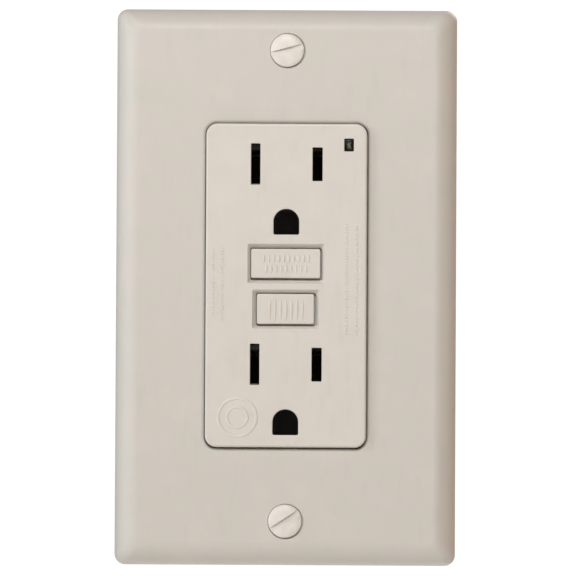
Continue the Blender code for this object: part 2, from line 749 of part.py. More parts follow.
def inner_frame(finish):
    cavity_w = BODY_W - 2 * BODY_WALL
    cavity_h = BODY_H - 2 * BODY_WALL
    mesh = bmesh.new()
    outline = cross(cavity_w - 0.8 * MM, FRAME_NARROW_W, WAIST, cavity_h - 0.8 * MM)
    prism(mesh, "Y", FRAME_FRONT, FRAME_BACK, outline)
    made = piece("inner_frame", mesh, finish)
    front = FRAME_FRONT - 1 * MM
    strips = bmesh.new()
    for side in SIDES.values():
        inner = side * (BLADE_X - BLADE_GRIP / 2 - 0.9 * MM)
        rail = side * (RAIL_IN_X - 0.4 * MM)
        outer = side * (RAIL_OUT_X + 0.4 * MM)
        clip_half = CLIP_HALF + 0.5 * MM
        outline = [
            (outer, LOWER_BLADES - clip_half),
            (outer, UPPER_BLADES + clip_half),
            (inner, UPPER_BLADES + clip_half),
            (inner, UPPER_BLADES - clip_half),
            (rail, UPPER_BLADES - clip_half),
            (rail, LOWER_BLADES + clip_half),
            (inner, LOWER_BLADES + clip_half),
            (inner, LOWER_BLADES - clip_half),
        ]
        prism(strips, "Y", front, RAIL_BACK + 0.5 * MM, outline)
    cut(made, strips)
    wells = bmesh.new()
    half_w = RESET_SIZE[0] / 2 + BUTTON_LIP + GAP
    half_h = RESET_SIZE[1] / 2 + BUTTON_LIP + FIT
    box(wells, -half_w, half_w, front, WELL_FLOOR, RESET_Z - half_h, RESET_Z + half_h)
    cut(made, wells)
    leaf_room = bmesh.new()
    leaf_end = LEAF_ROOT_X - 1.5 * MM
    half_w = TEST_SIZE[0] / 2 + BUTTON_LIP + GAP
    half_h = TEST_SIZE[1] / 2 + BUTTON_LIP + GAP
    box(leaf_room, leaf_end, half_w, front, WELL_FLOOR, TEST_Z - half_h, TEST_Z + half_h)
    cut(made, leaf_room)
    grounds = bmesh.new()
    half = GROUND_CLIP_HALF + GAP
    for row in (UPPER_BLADES, LOWER_BLADES):
        z = row - GROUND_DROP
        box(grounds, -half, half, front, FRAME_BACK - 1.1 * MM, z - half, z + half)
    cut(made, grounds)
    passages = bmesh.new()
    prism(passages, "Y", 0, FRAME_BACK + 1 * MM, circle(PIN / 2 + GAP, 0, RESET_Z, 16))
    for side in SIDES.values():
        rail = side * (RAIL_IN_X - 0.4 * MM)
        outer = side * (RAIL_OUT_X + 0.4 * MM)
        low, high = CONTACT_Z - 2.9 * MM, CONTACT_Z + 2.9 * MM
        box(passages, rail, outer, RAIL_BACK, FRAME_BACK + 1 * MM, low, high)
        wall = side * (FRAME_NARROW_W / 2 + 0.5 * MM)
        box(passages, side * (RAIL_OUT_X - 0.2 * MM), wall, RAIL_FRONT - 0.5 * MM, RAIL_BACK + 0.5 * MM,
            WAIST / 2 - 0.1 * MM, WAIST / 2 + 1.9 * MM)
    cut(made, passages)
    relief = bmesh.new()
    for side in SIDES.values():
        low, high = -WAIST / 2 + 1.4 * MM, WAIST / 2 - 1.6 * MM
        back = FRAME_BACK + 1 * MM
        inner, outer = side * (PIN / 2 + 1.4 * MM), side * (RAIL_IN_X - 1.3 * MM)
        box(relief, inner, outer, WELL_FLOOR + 1.8 * MM, back, low, high)
        inner, outer = side * (RAIL_OUT_X + 1.4 * MM), side * (cavity_w / 2 - 1.9 * MM)
        box(relief, inner, outer, 2.2 * MM, back, low, high)
    cut(made, relief)


def case_screws(steel):
    corners = [(-1, 1), (1, 1), (1, -1), (-1, -1)]
    seat = BODY_DEPTH - COUNTERBORE + GAP
    head = CASE_SCREW
    shank = CASE_SCREW / 2
    for number, (sx, sz) in enumerate(corners, 1):
        place = (sx * CASE_SCREW_X, sz * CASE_SCREW_Z)
        profile = [(0, GAP), (0.5 * shank, GAP), (shank, 1.5 * MM), (shank, seat), (head, seat)]
        profile += [(head, seat + 1.2 * MM), (0.7 * head, seat + 1.8 * MM), (0, seat + 1.8 * MM)]
        mesh = bmesh.new()
        turned(mesh, "Y", place, profile, 16)
        made = piece(f"case_screw_{number}", mesh, steel, (place[0], seat, place[1]), smooth=True)
        slotted(made, "Y", place, seat + 0.9 * MM, seat + 4 * MM, 0.8 * MM, 7 * MM)


# ---- terminals and contact strips


def terminal_plate(mesh, side, near_z, far_z, screw_z):
    """The flat plate that a wire is clamped against."""
    low, high = TERMINAL_Y - 5.1 * MM, TERMINAL_Y + 4.3 * MM
    prism(
        mesh,
        "X",
        side * PLATE_IN_X,
        side * PLATE_OUT_X,
        rectangle(low, high, min(near_z, far_z), max(near_z, far_z)),
        circle(TERMINAL_SCREW / 2 + GAP, TERMINAL_Y, screw_z, 16),
    )


def contact_strip(name, side, finish):
    """One bent strip: two blade grips on a rail, the load terminal and the fixed contact."""
    rail = bmesh.new()
    low = LOWER_BLADES - CLIP_HALF
    high = UPPER_BLADES + CLIP_HALF
    box(rail, side * RAIL_IN_X, side * RAIL_OUT_X, RAIL_FRONT, RAIL_BACK, low, high)
    made = piece(f"{name}_contact_strip", rail, finish)
    near = BLADE_X - BLADE_GRIP / 2
    far = BLADE_X + BLADE_GRIP / 2
    leaf = 0.6 * MM
    base = RAIL_BACK - SHEET
    outline = [
        (near - leaf, RAIL_BACK - 0.2 * MM),
        (RAIL_IN_X + SHEET / 2, RAIL_BACK - 0.2 * MM),
        (RAIL_IN_X + SHEET / 2, base),
        (far + leaf, base),
        (far + leaf, 3.0 * MM),
        (far, 3.0 * MM),
        (far, base),
        (near, base),
        (near, 3.0 * MM),
        (near - leaf, 3.0 * MM),
    ]
    grips = bmesh.new()
    for row in (UPPER_BLADES, LOWER_BLADES):
        inset = 0.1 * MM
        turned_outline = [(side * x, y) for x, y in outline]
        prism(grips, "Z", row - CLIP_HALF + inset, row + CLIP_HALF - inset, turned_outline)
    join(made, grips)
    link = bmesh.new()
    start = side * (RAIL_IN_X + SHEET / 2)
    shelf_low = WAIST / 2 + 0.4 * MM
    box(link, start, side * (PLATE_OUT_X - 0.3 * MM), RAIL_FRONT + 0.1 * MM, RAIL_BACK - 0.1 * MM,
        shelf_low, shelf_low + 1.0 * MM)
    join(made, link)
    plate = bmesh.new()
    terminal_plate(plate, side, shelf_low - 0.1 * MM, TERMINAL_Z + 4.9 * MM, TERMINAL_Z)
    join(made, plate)
    drop = bmesh.new()
    contact_low, contact_high = CONTACT_Z - 2.5 * MM, CONTACT_Z + 2.5 * MM
    box(drop, side * (RAIL_IN_X + 0.1 * MM), side * (RAIL_OUT_X - 0.1 * MM), RAIL_FRONT + 1 * MM,
        TAB_Y + SHEET / 2, contact_low, contact_high)
    join(made, drop)
    tab = bmesh.new()
    box(tab, side * (RAIL_IN_X - 0.1 * MM), side * (ARM_X + 2.4 * MM), TAB_Y, TAB_Y + SHEET,
        contact_low - 0.1 * MM, contact_high + 0.1 * MM)
    join(made, tab)


def line_terminal(name, side, finish):
    """The line terminal and the bar that it sends through the coils."""
    mesh = bmesh.new()
    near_z = -TERMINAL_Z + 4.9 * MM
    far_z = -TERMINAL_Z - 6.1 * MM
    terminal_plate(mesh, side, near_z, far_z, -TERMINAL_Z)
    made = piece(f"line_{name}_terminal", mesh, finish)
    leg = bmesh.new()
    box(leg, side * (PLATE_IN_X + 0.1 * MM), side * (PLATE_OUT_X - 0.1 * MM), TERMINAL_Y, TAB_Y + SHEET / 2,
        far_z + 0.1 * MM, far_z + 0.9 * MM)
    join(made, leg)
    foot = bmesh.new()
    bar_in, bar_out = 1.2 * MM, 2.8 * MM
    outline = [
        (PLATE_OUT_X - 0.2 * MM, far_z),
        (PLATE_OUT_X - 0.2 * MM, far_z + 1.0 * MM),
        (FRAME_NARROW_W / 2 + 0.5 * MM, far_z + 1.0 * MM),
        (FRAME_NARROW_W / 2 - 1.5 * MM, COIL_Z + 1.0 * MM),
        (bar_in, COIL_Z + 1.0 * MM),
        (bar_in, COIL_Z - 1.4 * MM),
        (FRAME_NARROW_W / 2 - 3.0 * MM, COIL_Z - 1.4 * MM),
        (FRAME_NARROW_W / 2 - 0.8 * MM, far_z),
    ]
    prism(foot, "Y", TAB_Y, TAB_Y + SHEET, [(side * x, z) for x, z in outline])
    join(made, foot)
    bar = bmesh.new()
    box(bar, side * (bar_in + 0.1 * MM), side * bar_out, TAB_Y + SHEET / 2, BOARD_FRONT - GAP,
        COIL_Z - 1.0 * MM, COIL_Z + 0.6 * MM)
    join(made, bar)


def terminal_screw(name, side, z, finish, steel):
    head = TERMINAL_HEAD / 2
    shank = TERMINAL_SCREW / 2
    profile = [(0, SCREW_TIP_X), (0.7 * shank, SCREW_TIP_X)]
    profile += [(shank, SCREW_TIP_X + 0.5 * MM), (shank, SCREW_SEAT_X)]
    profile += [(head, SCREW_SEAT_X), (head, SCREW_TOP_X - 0.5 * MM)]
    profile += [(0.86 * head, SCREW_TOP_X), (0, SCREW_TOP_X)]
    profile = [(radius, side * x) for radius, x in profile]
    mesh = bmesh.new()
    turned(mesh, "X", (TERMINAL_Y, z), profile)
    place = (side * SCREW_SEAT_X, TERMINAL_Y, z)
    made = piece(f"terminal_screw_{name}", mesh, finish, place, smooth=True)
    start, end = side * (SCREW_TOP_X - 1.2 * MM), side * (SCREW_TOP_X + 1 * MM)
    slotted(made, "X", (TERMINAL_Y, z), start, end, 1.2 * MM, 10 * MM)
    clamp = bmesh.new()
    outline = rectangle(TERMINAL_Y - 4.7 * MM, TERMINAL_Y + 4.3 * MM, z - 4.6 * MM, z + 4.6 * MM)
    hole = circle(shank + GAP, TERMINAL_Y, z, 16)
    prism(clamp, "X", side * (CLAMP_OUT_X - CLAMP_T), side * CLAMP_OUT_X, outline, hole)
    piece(f"clamp_plate_{name}", clamp, steel, (side * CLAMP_OUT_X, TERMINAL_Y, z))


def terminals(brass, silver, steel):
    for name, finish in (("hot", brass), ("neutral", silver)):
        side = SIDES[name]
        contact_strip(name, side, brass)
        line_terminal(name, side, brass)
        terminal_screw(f"load_{name}", side, TERMINAL_Z, finish, steel)
        terminal_screw(f"line_{name}", side, -TERMINAL_Z, finish, steel)


# ---- latch, contact arms and trip solenoid


def lifter(finish):
    """The block that carries the latch plate and holds both contact arms closed."""
    hub = bmesh.new()
    hub_low, hub_high = RESET_Z - 3.6 * MM, LATCH_TOP - PLUNGER_STROKE
    box(hub, -5.4 * MM, 5.4 * MM, LATCH_Y - 1.8 * MM, WING_Y + 1.6 * MM, hub_low, hub_high)
    made = piece("lifter", hub, finish, (0, LATCH_Y, RESET_Z))
    wings = bmesh.new()
    reach = ARM_X + 2.8 * MM
    box(wings, -reach, reach, WING_Y, WING_Y + 1.5 * MM, RESET_Z - 1.5 * MM, RESET_Z + 1.5 * MM)
    join(made, wings)
    room = bmesh.new()
    front, back = LATCH_Y - GAP, LATCH_Y + SHEET + GAP
    box(room, -3.7 * MM, 3.7 * MM, front, back, hub_low - 1 * MM, hub_high + 1 * MM)
    cut(made, room)
    passage = bmesh.new()
    bore = circle(PIN / 2 + 0.4 * MM, 0, RESET_Z, 16)
    prism(passage, "Y", LATCH_Y - 5 * MM, LATCH_Y + 5 * MM, bore)
    cut(made, passage)


def latch_plate(steel):
    """Its hole's lower edge catches the pin's head until the plate slides down."""
    mesh = bmesh.new()
    half = 3.4 * MM
    outline = rectangle(-half, half, RESET_Z - 2.75 * MM, LATCH_TOP)
    catch = PIN / 2 - LATCH_BITE
    hole = rectangle(-1.8 * MM, 1.8 * MM, RESET_Z - catch, RESET_Z + PIN / 2 + LATCH_TRAVEL + 0.2 * MM)
    prism(mesh, "Y", LATCH_Y, LATCH_Y + SHEET, outline, hole)
    piece("latch_plate", mesh, steel, (0, LATCH_Y, RESET_Z))


def contact_arms(brass, silver):
    for name, side in SIDES.items():
        inner, outer = side * (ARM_X - 1.8 * MM), side * (ARM_X + 1.8 * MM)
        mesh = bmesh.new()
        outline = [
            (ARM_Y, ARM_ROOT_Z),
            (BOARD_FRONT - 2 * GAP, ARM_ROOT_Z),
            (BOARD_FRONT - 2 * GAP, ARM_ROOT_Z + ARM_T),
            (ARM_Y + ARM_T, ARM_ROOT_Z + ARM_T),
            (ARM_Y + ARM_T, CONTACT_Z + 2.0 * MM),
            (ARM_Y, CONTACT_Z + 2.0 * MM),
        ]
        prism(mesh, "X", inner, outer, outline)
        piece(f"{name}_arm", mesh, brass, (side * ARM_X, ARM_Y + ARM_T / 2, ARM_ROOT_Z))
        for kind, y in (("fixed", FIXED_Y), ("moving", MOVING_Y)):
            point = bmesh.new()
            prism(point, "Y", y, y + CONTACT_T, circle(1.5 * MM, side * ARM_X, CONTACT_Z, 16))
            piece(f"{name}_{kind}_contact", point, silver)


def solenoid(plastic, copper, steel):
    axis = (0, SOLENOID_Y)
    low, high = SOLENOID_LOW, SOLENOID_LOW + 17.2 * MM
    yoke = bmesh.new()
    outline = rectangle(-4.8 * MM, 4.8 * MM, low, high)
    window = rectangle(-4.0 * MM, 4.0 * MM, low + SHEET, high - SHEET)
    flange = BOARD_FRONT - SOLENOID_Y - 0.4 * MM
    yoke_half = flange - 0.6 * MM
    prism(yoke, "Y", SOLENOID_Y - yoke_half, SOLENOID_Y + yoke_half, outline, window)
    made = piece("solenoid_yoke", yoke, steel)
    mouth = bmesh.new()
    prism(mouth, "Z", low - 1 * MM, low + 2 * SHEET, circle(1.75 * MM, *axis, 16))
    cut(made, mouth)
    spool_low, spool_high = low + SHEET + GAP, high - SHEET - GAP
    tube, bore = 2.15 * MM, 1.7 * MM
    profile = [(bore, spool_low), (flange, spool_low), (flange, spool_low + 0.7 * MM)]
    profile += [(tube, spool_low + 0.7 * MM), (tube, spool_high - 0.7 * MM)]
    profile += [(flange, spool_high - 0.7 * MM), (flange, spool_high), (bore, spool_high)]
    bobbin = bmesh.new()
    turned(bobbin, "Z", axis, profile, 20, ring=True)
    piece("solenoid_bobbin", bobbin, plastic, (*axis, 0), smooth=True)
    winding = bmesh.new()
    start, end = spool_low + 1.0 * MM, spool_high - 1.0 * MM
    wound, inner = flange - 0.2 * MM, tube + GAP
    profile = [(inner, start), (wound, start), (wound, end), (inner, end)]
    turned(winding, "Z", axis, profile, 20, ring=True)
    piece("solenoid_winding", winding, copper, (*axis, 0), smooth=True)
    tip = LATCH_TOP + GAP
    top = spool_high - 5.5 * MM
    rod = bmesh.new()
    radius = 1.4 * MM
    profile = [(0, tip), (radius - 0.3 * MM, tip), (radius, tip + 0.3 * MM), (radius, top), (0, top)]
    turned(rod, "Z", axis, profile, 16)
    piece("plunger", rod, steel, (*axis, tip), smooth=True)
    spring = bmesh.new()
    coil_spring(spring, axis, 1.1 * MM, 0.4 * MM, top + GAP, spool_high - GAP, 4.5, "Z", 8)
    piece("plunger_spring", spring, steel, (*axis, spool_high - GAP), smooth=True)


# ---- circuit board and what stands on it


def circuit_board(finish):
    mesh = bmesh.new()
    cavity_w = BODY_W - 2 * BODY_WALL
    wide = cavity_w - 1.4 * MM
    narrow = 2 * (PLATE_IN_X - 3.1 * MM)
    outline = cross(wide, narrow, WAIST + 0.8 * MM, BODY_H - 2 * BODY_WALL - 1.6 * MM)
    prism(mesh, "Y", BOARD_FRONT, BOARD_BACK, outline, circle(2.1 * MM, 0, RESET_Z, 16))
    piece("circuit_board", mesh, finish)


def toroids(plastic, copper, enamel):
    front = TAB_Y + SHEET + GAP
    back = BOARD_FRONT - 0.4 * MM
    hole, tube, wall, rim = 3.3 * MM, 4.0 * MM, 8.4 * MM, 9.1 * MM
    profile = [(hole, front), (rim, front), (rim, back), (wall, back)]
    profile += [(wall, front + 0.6 * MM), (tube, front + 0.6 * MM), (tube, back), (hole, back)]
    cup = bmesh.new()
    turned(cup, "Y", (0, COIL_Z), profile, 24, ring=True)
    piece("coil_housing", cup, plastic, (0, 0, COIL_Z), smooth=True)
    height = (back - front - 0.6 * MM - 3 * GAP) / 2
    for number, (name, finish) in enumerate((("sense_coil", copper), ("neutral_coil", enamel))):
        start = front + 0.6 * MM + GAP + number * (height + GAP)
        end = start + height
        inner, outer, ease = tube + GAP, wall - GAP, 0.5 * MM
        profile = [(inner, start + ease), (inner + ease, start), (outer - ease, start)]
        profile += [(outer, start + ease), (outer, end - ease), (outer - ease, end)]
        profile += [(inner + ease, end), (inner, end - ease)]
        core = bmesh.new()
        turned(core, "Y", (0, COIL_Z), profile, 20, ring=True)
        piece(name, core, finish, (0, 0, COIL_Z), smooth=True)


def board_parts():
    """The components on the board's front, each lying on it."""
    back = BOARD_FRONT - GAP
    disc = bmesh.new()
    turned(disc, "Y", (-5.0 * MM, -5.2 * MM), [
        (0, back), (4.2 * MM, back), (4.5 * MM, back - 0.4 * MM), (4.5 * MM, back - 3.0 * MM),
        (4.1 * MM, back - 3.4 * MM), (0, back - 3.4 * MM)], 20)
    piece("varistor", disc, material("varistor_blue", (0.02, 0.10, 0.32), 0.45), smooth=True)
    film = bmesh.new()
    box(film, 1.4 * MM, 9.4 * MM, back - 5.0 * MM, back, -8.0 * MM, -2.6 * MM)
    piece("filter_capacitor", film, material("capacitor_red", (0.38, 0.06, 0.03), 0.4))
    case = bmesh.new()
    radius, x, z = 2.3 * MM, -9.0 * MM, 15.0 * MM
    arc = [math.pi * step / 10 for step in range(11)]
    outline = [(x + radius * math.cos(t), z + radius * math.sin(t)) for t in arc]
    outline += [(x - radius, z - 1 * MM), (x + radius, z - 1 * MM)]
    prism(case, "Y", back - 4.6 * MM, back, outline)
    piece("scr", case, material("epoxy_black", (0.02, 0.02, 0.02), 0.5))
    chip = bmesh.new()
    box(chip, 6.4 * MM, 11.4 * MM, back - 1.6 * MM, back, 13.6 * MM, 18.4 * MM)
    piece("control_chip", chip, bpy.data.materials["epoxy_black"])
    barrel = bmesh.new()
    start = 20.6 * MM
    end = start + 6.0 * MM
    profile = [(0, start), (0.9 * MM, start), (1.15 * MM, start + 0.4 * MM)]
    profile += [(1.15 * MM, end - 0.4 * MM), (0.9 * MM, end), (0, end)]
    turned(barrel, "Z", (-9.0 * MM, back - 1.2 * MM), profile, 14)
    piece("test_resistor", barrel, material("resistor_tan", (0.55, 0.42, 0.26), 0.5), smooth=True)
    led = bmesh.new()
    left, right = LIGHT_X - 1.0 * MM, LIGHT_X + 0.6 * MM
    box(led, left, right, back - 1.4 * MM, back, LIGHT_Z - 1.1 * MM, LIGHT_Z + 1.1 * MM)
    piece("status_led", led, material("led_white", (0.75, 0.74, 0.65), 0.35))


def build():
    clear_scene()
    almond = material("almond_plastic", (0.66, 0.61, 0.54), 0.42)
    painted = material("painted_screw", (0.70, 0.67, 0.62), 0.40)
    dark = material("dark_plastic", (0.045, 0.045, 0.05), 0.5)
    carrier = material("carrier_plastic", (0.50, 0.49, 0.46), 0.55)
    clear = material("clear_plastic", (0.42, 0.46, 0.42), 0.25)
    steel = material("zinc_steel", (0.58, 0.57, 0.55), 0.35, 1.0)
    brass = material("brass", (0.72, 0.53, 0.22), 0.3, 1.0)
    silver = material("nickel", (0.70, 0.69, 0.66), 0.3, 1.0)
    copper = material("copper_wire", (0.60, 0.25, 0.10), 0.35, 0.9)
    enamel = material("green_enamel", (0.10, 0.28, 0.16), 0.4)
    fibre = material("fibre", (0.30, 0.08, 0.05), 0.7)
    wall_plate(almond)
    plate_screws(painted)
    face_cover(almond)
    reset_group(almond, steel)
    test_group(almond, brass)
    status_light(clear)
    strap(steel)
    box_screws(steel, fibre)
    ground_clips(brass)
    rear_housing(dark)
    inner_frame(carrier)
    case_screws(steel)
    terminals(brass, silver, steel)
    lifter(carrier)
    latch_plate(steel)
    contact_arms(brass, silver)
    solenoid(dark, copper, steel)
    circuit_board(material("board_green", (0.03, 0.20, 0.08), 0.45))
    toroids(dark, copper, enamel)
    board_parts()


build()
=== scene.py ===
import math

import bmesh
import bpy
from mathutils import Matrix, Vector
from mathutils.geometry import tessellate_polygon


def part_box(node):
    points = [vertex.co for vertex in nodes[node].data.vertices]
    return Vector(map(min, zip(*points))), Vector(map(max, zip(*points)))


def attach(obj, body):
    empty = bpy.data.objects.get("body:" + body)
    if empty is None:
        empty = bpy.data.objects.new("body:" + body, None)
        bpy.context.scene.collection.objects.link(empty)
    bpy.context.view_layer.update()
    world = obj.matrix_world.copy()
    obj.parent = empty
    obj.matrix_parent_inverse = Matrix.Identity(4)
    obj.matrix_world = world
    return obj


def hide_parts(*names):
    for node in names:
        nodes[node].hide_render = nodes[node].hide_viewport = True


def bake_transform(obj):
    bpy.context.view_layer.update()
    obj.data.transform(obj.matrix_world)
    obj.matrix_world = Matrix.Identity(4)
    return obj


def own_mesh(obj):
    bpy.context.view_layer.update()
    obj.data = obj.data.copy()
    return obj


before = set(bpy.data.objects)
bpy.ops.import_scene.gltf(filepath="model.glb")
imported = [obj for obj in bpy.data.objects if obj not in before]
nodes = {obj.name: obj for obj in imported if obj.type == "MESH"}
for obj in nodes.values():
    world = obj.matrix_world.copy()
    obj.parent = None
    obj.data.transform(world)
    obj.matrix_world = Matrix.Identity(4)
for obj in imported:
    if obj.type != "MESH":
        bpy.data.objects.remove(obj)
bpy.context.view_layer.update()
mm = 0.001

# ---- mounting strap
# One stamping of zinc-plated steel sheet, 1.2 mm thick. It carries the tapped holes for the
# wall plate's screws and the slots for the box screws. The stamped edges are slightly rounded.


def link(graph, source, target):
    graph.links.new(source, target)


def grain(graph, scale, detail=3.0, stretch=(1, 1, 1)):
    """A noise in object coordinates, with its scale in cells per metre."""
    place = graph.nodes.new("ShaderNodeTexCoord")
    mapping = graph.nodes.new("ShaderNodeMapping")
    mapping.inputs["Scale"].default_value = stretch
    noise = graph.nodes.new("ShaderNodeTexNoise")
    noise.inputs["Scale"].default_value = scale
    noise.inputs["Detail"].default_value = detail
    link(graph, place.outputs["Object"], mapping.inputs["Vector"])
    link(graph, mapping.outputs["Vector"], noise.inputs["Vector"])
    return noise.outputs["Fac"]


def ramp(graph, factor, low, high, start=0.35, end=0.65):
    """Runs from the low to the high colour as the factor goes from start to end."""
    made = graph.nodes.new("ShaderNodeValToRGB")
    made.color_ramp.elements[0].position = start
    made.color_ramp.elements[0].color = (*low, 1)
    made.color_ramp.elements[1].position = end
    made.color_ramp.elements[1].color = (*high, 1)
    link(graph, factor, made.inputs["Fac"])
    return made.outputs["Color"]


def spread(graph, factor, low, high):
    """Turns a factor of about a third to two thirds into the range low to high."""
    made = graph.nodes.new("ShaderNodeMapRange")
    made.inputs["From Min"].default_value = 0.33
    made.inputs["From Max"].default_value = 0.67
    made.inputs["To Min"].default_value = low
    made.inputs["To Max"].default_value = high
    link(graph, factor, made.inputs["Value"])
    return made.outputs["Result"]


def bumped(graph, height, distance, under=None):
    """A bump of the given depth, laid over the one under it if there is one."""
    made = graph.nodes.new("ShaderNodeBump")
    made.inputs["Distance"].default_value = distance
    made.inputs["Strength"].default_value = 1.0
    link(graph, height, made.inputs["Height"])
    if under:
        link(graph, under, made.inputs["Normal"])
    return made.outputs["Normal"]


def new_finish(name):
    """A new material, its node tree and its shader."""
    made = bpy.data.materials.new(name)
    made.use_nodes = True
    return made, made.node_tree, made.node_tree.nodes["Principled BSDF"]


def sheet_metal(name, low, high, rough=(0.28, 0.42), brush=(1, 1, 1), scale=260, depth=0.006 * mm):
    """A plated or rolled metal: soft blotches of colour, fine rolling marks along one axis."""
    made, graph, shader = new_finish(name)
    shader.inputs["Metallic"].default_value = 1.0
    blotches = grain(graph, scale, 4.0)
    link(graph, ramp(graph, blotches, low, high), shader.inputs["Base Color"])
    marks = grain(graph, 2600, 2.0, brush)
    link(graph, spread(graph, marks, *rough), shader.inputs["Roughness"])
    link(graph, bumped(graph, marks, depth), shader.inputs["Normal"])
    return made


def worn_copy(node, width, segments=2):
    """A copy of a CAD node whose edges are rounded to the given width."""
    made = nodes[node].copy()
    made.data = nodes[node].data.copy()
    made.name = node + "_finished"
    made.parent = None
    for key in list(made.keys()):
        del made[key]
    bpy.context.scene.collection.objects.link(made)
    mesh = bmesh.new()
    mesh.from_mesh(made.data)
    bmesh.ops.remove_doubles(mesh, verts=mesh.verts, dist=0.0004 * mm)
    bmesh.ops.dissolve_limit(mesh, angle_limit=math.radians(0.6), verts=mesh.verts, edges=mesh.edges)
    mesh.to_mesh(made.data)
    mesh.free()
    return settled(rounded_edges(made, width, segments, 32))


def rounded_edges(made, width, segments=3, angle=40):
    """Adds a bevel to the edges that are sharper than the angle."""
    edges = made.modifiers.new("edges", "BEVEL")
    edges.width = width
    edges.segments = segments
    edges.limit_method = "ANGLE"
    edges.angle_limit = math.radians(angle)
    return made


def settled(made, smooth=35):
    """The piece as a plain mesh, its modifiers applied, with its flats kept flat in shading."""
    weights = made.modifiers.new("flats", "WEIGHTED_NORMAL")
    weights.keep_sharp = True
    weights.weight = 100
    made.data.shade_smooth()
    made.data.set_sharp_from_angle(angle=math.radians(smooth))
    bpy.context.view_layer.update()
    seen = made.evaluated_get(bpy.context.evaluated_depsgraph_get())
    plain = bpy.data.meshes.new_from_object(seen)
    made.modifiers.clear()
    made.data = plain
    return made


def dressed(made, finish):
    """Gives the whole piece one finish."""
    made.data.materials.clear()
    made.data.materials.append(finish)
    return made


zinc = sheet_metal("zinc_plate", (0.50, 0.50, 0.47), (0.66, 0.64, 0.58), brush=(1, 1, 0.08))
strap = dressed(worn_copy("mounting_strap", 0.22 * mm), zinc)
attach(strap, "device")
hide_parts("mounting_strap")

# ---- box screws and their washers
# Two long 6-32 machine screws with round slotted heads fasten the strap to the wall box. A square
# of red vulcanised fibre behind the strap holds each screw captive until the device is mounted.


def new_tree(name, sizes):
    """A geometry node tree with an input for each named size, whole where its example is whole."""
    made = bpy.data.node_groups.new(name, "GeometryNodeTree")
    made.interface.new_socket("Geometry", in_out="OUTPUT", socket_type="NodeSocketGeometry")
    for size, value in sizes.items():
        kind = "NodeSocketInt" if isinstance(value, int) else "NodeSocketFloat"
        made.interface.new_socket(size, in_out="INPUT", socket_type=kind)
    start = made.nodes.new("NodeGroupInput")
    return made, start.outputs


def maths(graph, operation, *values):
    """A math node; each value is a number or a socket."""
    made = graph.nodes.new("ShaderNodeMath")
    made.operation = operation
    for socket, value in zip(made.inputs, values):
        if isinstance(value, (int, float)):
            socket.default_value = value
        else:
            link(graph, value, socket)
    return made.outputs["Value"]


def end_tree(graph, geometry, finish):
    """Closes the tree with Realize Instances and Set Material."""
    real = graph.nodes.new("GeometryNodeRealizeInstances")
    coat = graph.nodes.new("GeometryNodeSetMaterial")
    coat.inputs["Material"].default_value = finish
    out = graph.nodes.new("NodeGroupOutput")
    link(graph, geometry, real.inputs["Geometry"])
    link(graph, real.outputs["Geometry"], coat.inputs["Geometry"])
    link(graph, coat.outputs["Geometry"], out.inputs["Geometry"])


def grown(name, graph, sizes):
    """The mesh that a tree makes from these sizes, as a plain object."""
    made = bpy.data.objects.new(name, bpy.data.meshes.new(name))
    bpy.context.scene.collection.objects.link(made)
    step = made.modifiers.new(name, "NODES")
    step.node_group = graph
    for socket in graph.interface.items_tree:
        if socket.in_out == "INPUT":
            step[socket.identifier] = sizes[socket.name]
    bpy.context.view_layer.update()
    seen = made.evaluated_get(bpy.context.evaluated_depsgraph_get())
    plain = bpy.data.meshes.new_from_object(seen)
    made.modifiers.clear()
    made.data = plain
    return made


def thread_tree(finish):
    """A screw's shank: a cylinder whose surface rises and falls along a helix."""
    sizes = {"Radius": 1.7 * mm, "Depth": 0.4 * mm, "Pitch": 0.79 * mm, "Length": 10 * mm, "Rows": 60}
    graph, given = new_tree("threaded_shank", sizes)
    rod = graph.nodes.new("GeometryNodeMeshCylinder")
    rod.inputs["Vertices"].default_value = 28
    link(graph, given["Rows"], rod.inputs["Side Segments"])
    link(graph, given["Radius"], rod.inputs["Radius"])
    link(graph, given["Length"], rod.inputs["Depth"])
    place = graph.nodes.new("GeometryNodeInputPosition")
    split = graph.nodes.new("ShaderNodeSeparateXYZ")
    link(graph, place.outputs["Position"], split.inputs["Vector"])
    angle = maths(graph, "ARCTAN2", split.outputs["Y"], split.outputs["X"])
    turn = maths(graph, "DIVIDE", angle, math.tau)
    climb = maths(graph, "DIVIDE", split.outputs["Z"], given["Pitch"])
    wave = maths(graph, "PINGPONG", maths(graph, "SUBTRACT", climb, turn), 0.5)
    share = maths(graph, "DIVIDE", given["Depth"], given["Radius"])
    cut = maths(graph, "MULTIPLY", maths(graph, "MULTIPLY", wave, 2.0), share)
    keep = maths(graph, "SUBTRACT", 1.0, cut)
    joined = graph.nodes.new("ShaderNodeCombineXYZ")
    link(graph, maths(graph, "MULTIPLY", split.outputs["X"], keep), joined.inputs["X"])
    link(graph, maths(graph, "MULTIPLY", split.outputs["Y"], keep), joined.inputs["Y"])
    link(graph, split.outputs["Z"], joined.inputs["Z"])
    shape = graph.nodes.new("GeometryNodeSetPosition")
    link(graph, rod.outputs["Mesh"], shape.inputs["Geometry"])
    link(graph, joined.outputs["Vector"], shape.inputs["Position"])
    end_tree(graph, shape.outputs["Geometry"], finish)
    return graph


def as_object(name, mesh):
    """Puts a finished bmesh into the scene as an object."""
    data = bpy.data.meshes.new(name)
    mesh.to_mesh(data)
    mesh.free()
    made = bpy.data.objects.new(name, data)
    bpy.context.scene.collection.objects.link(made)
    return made


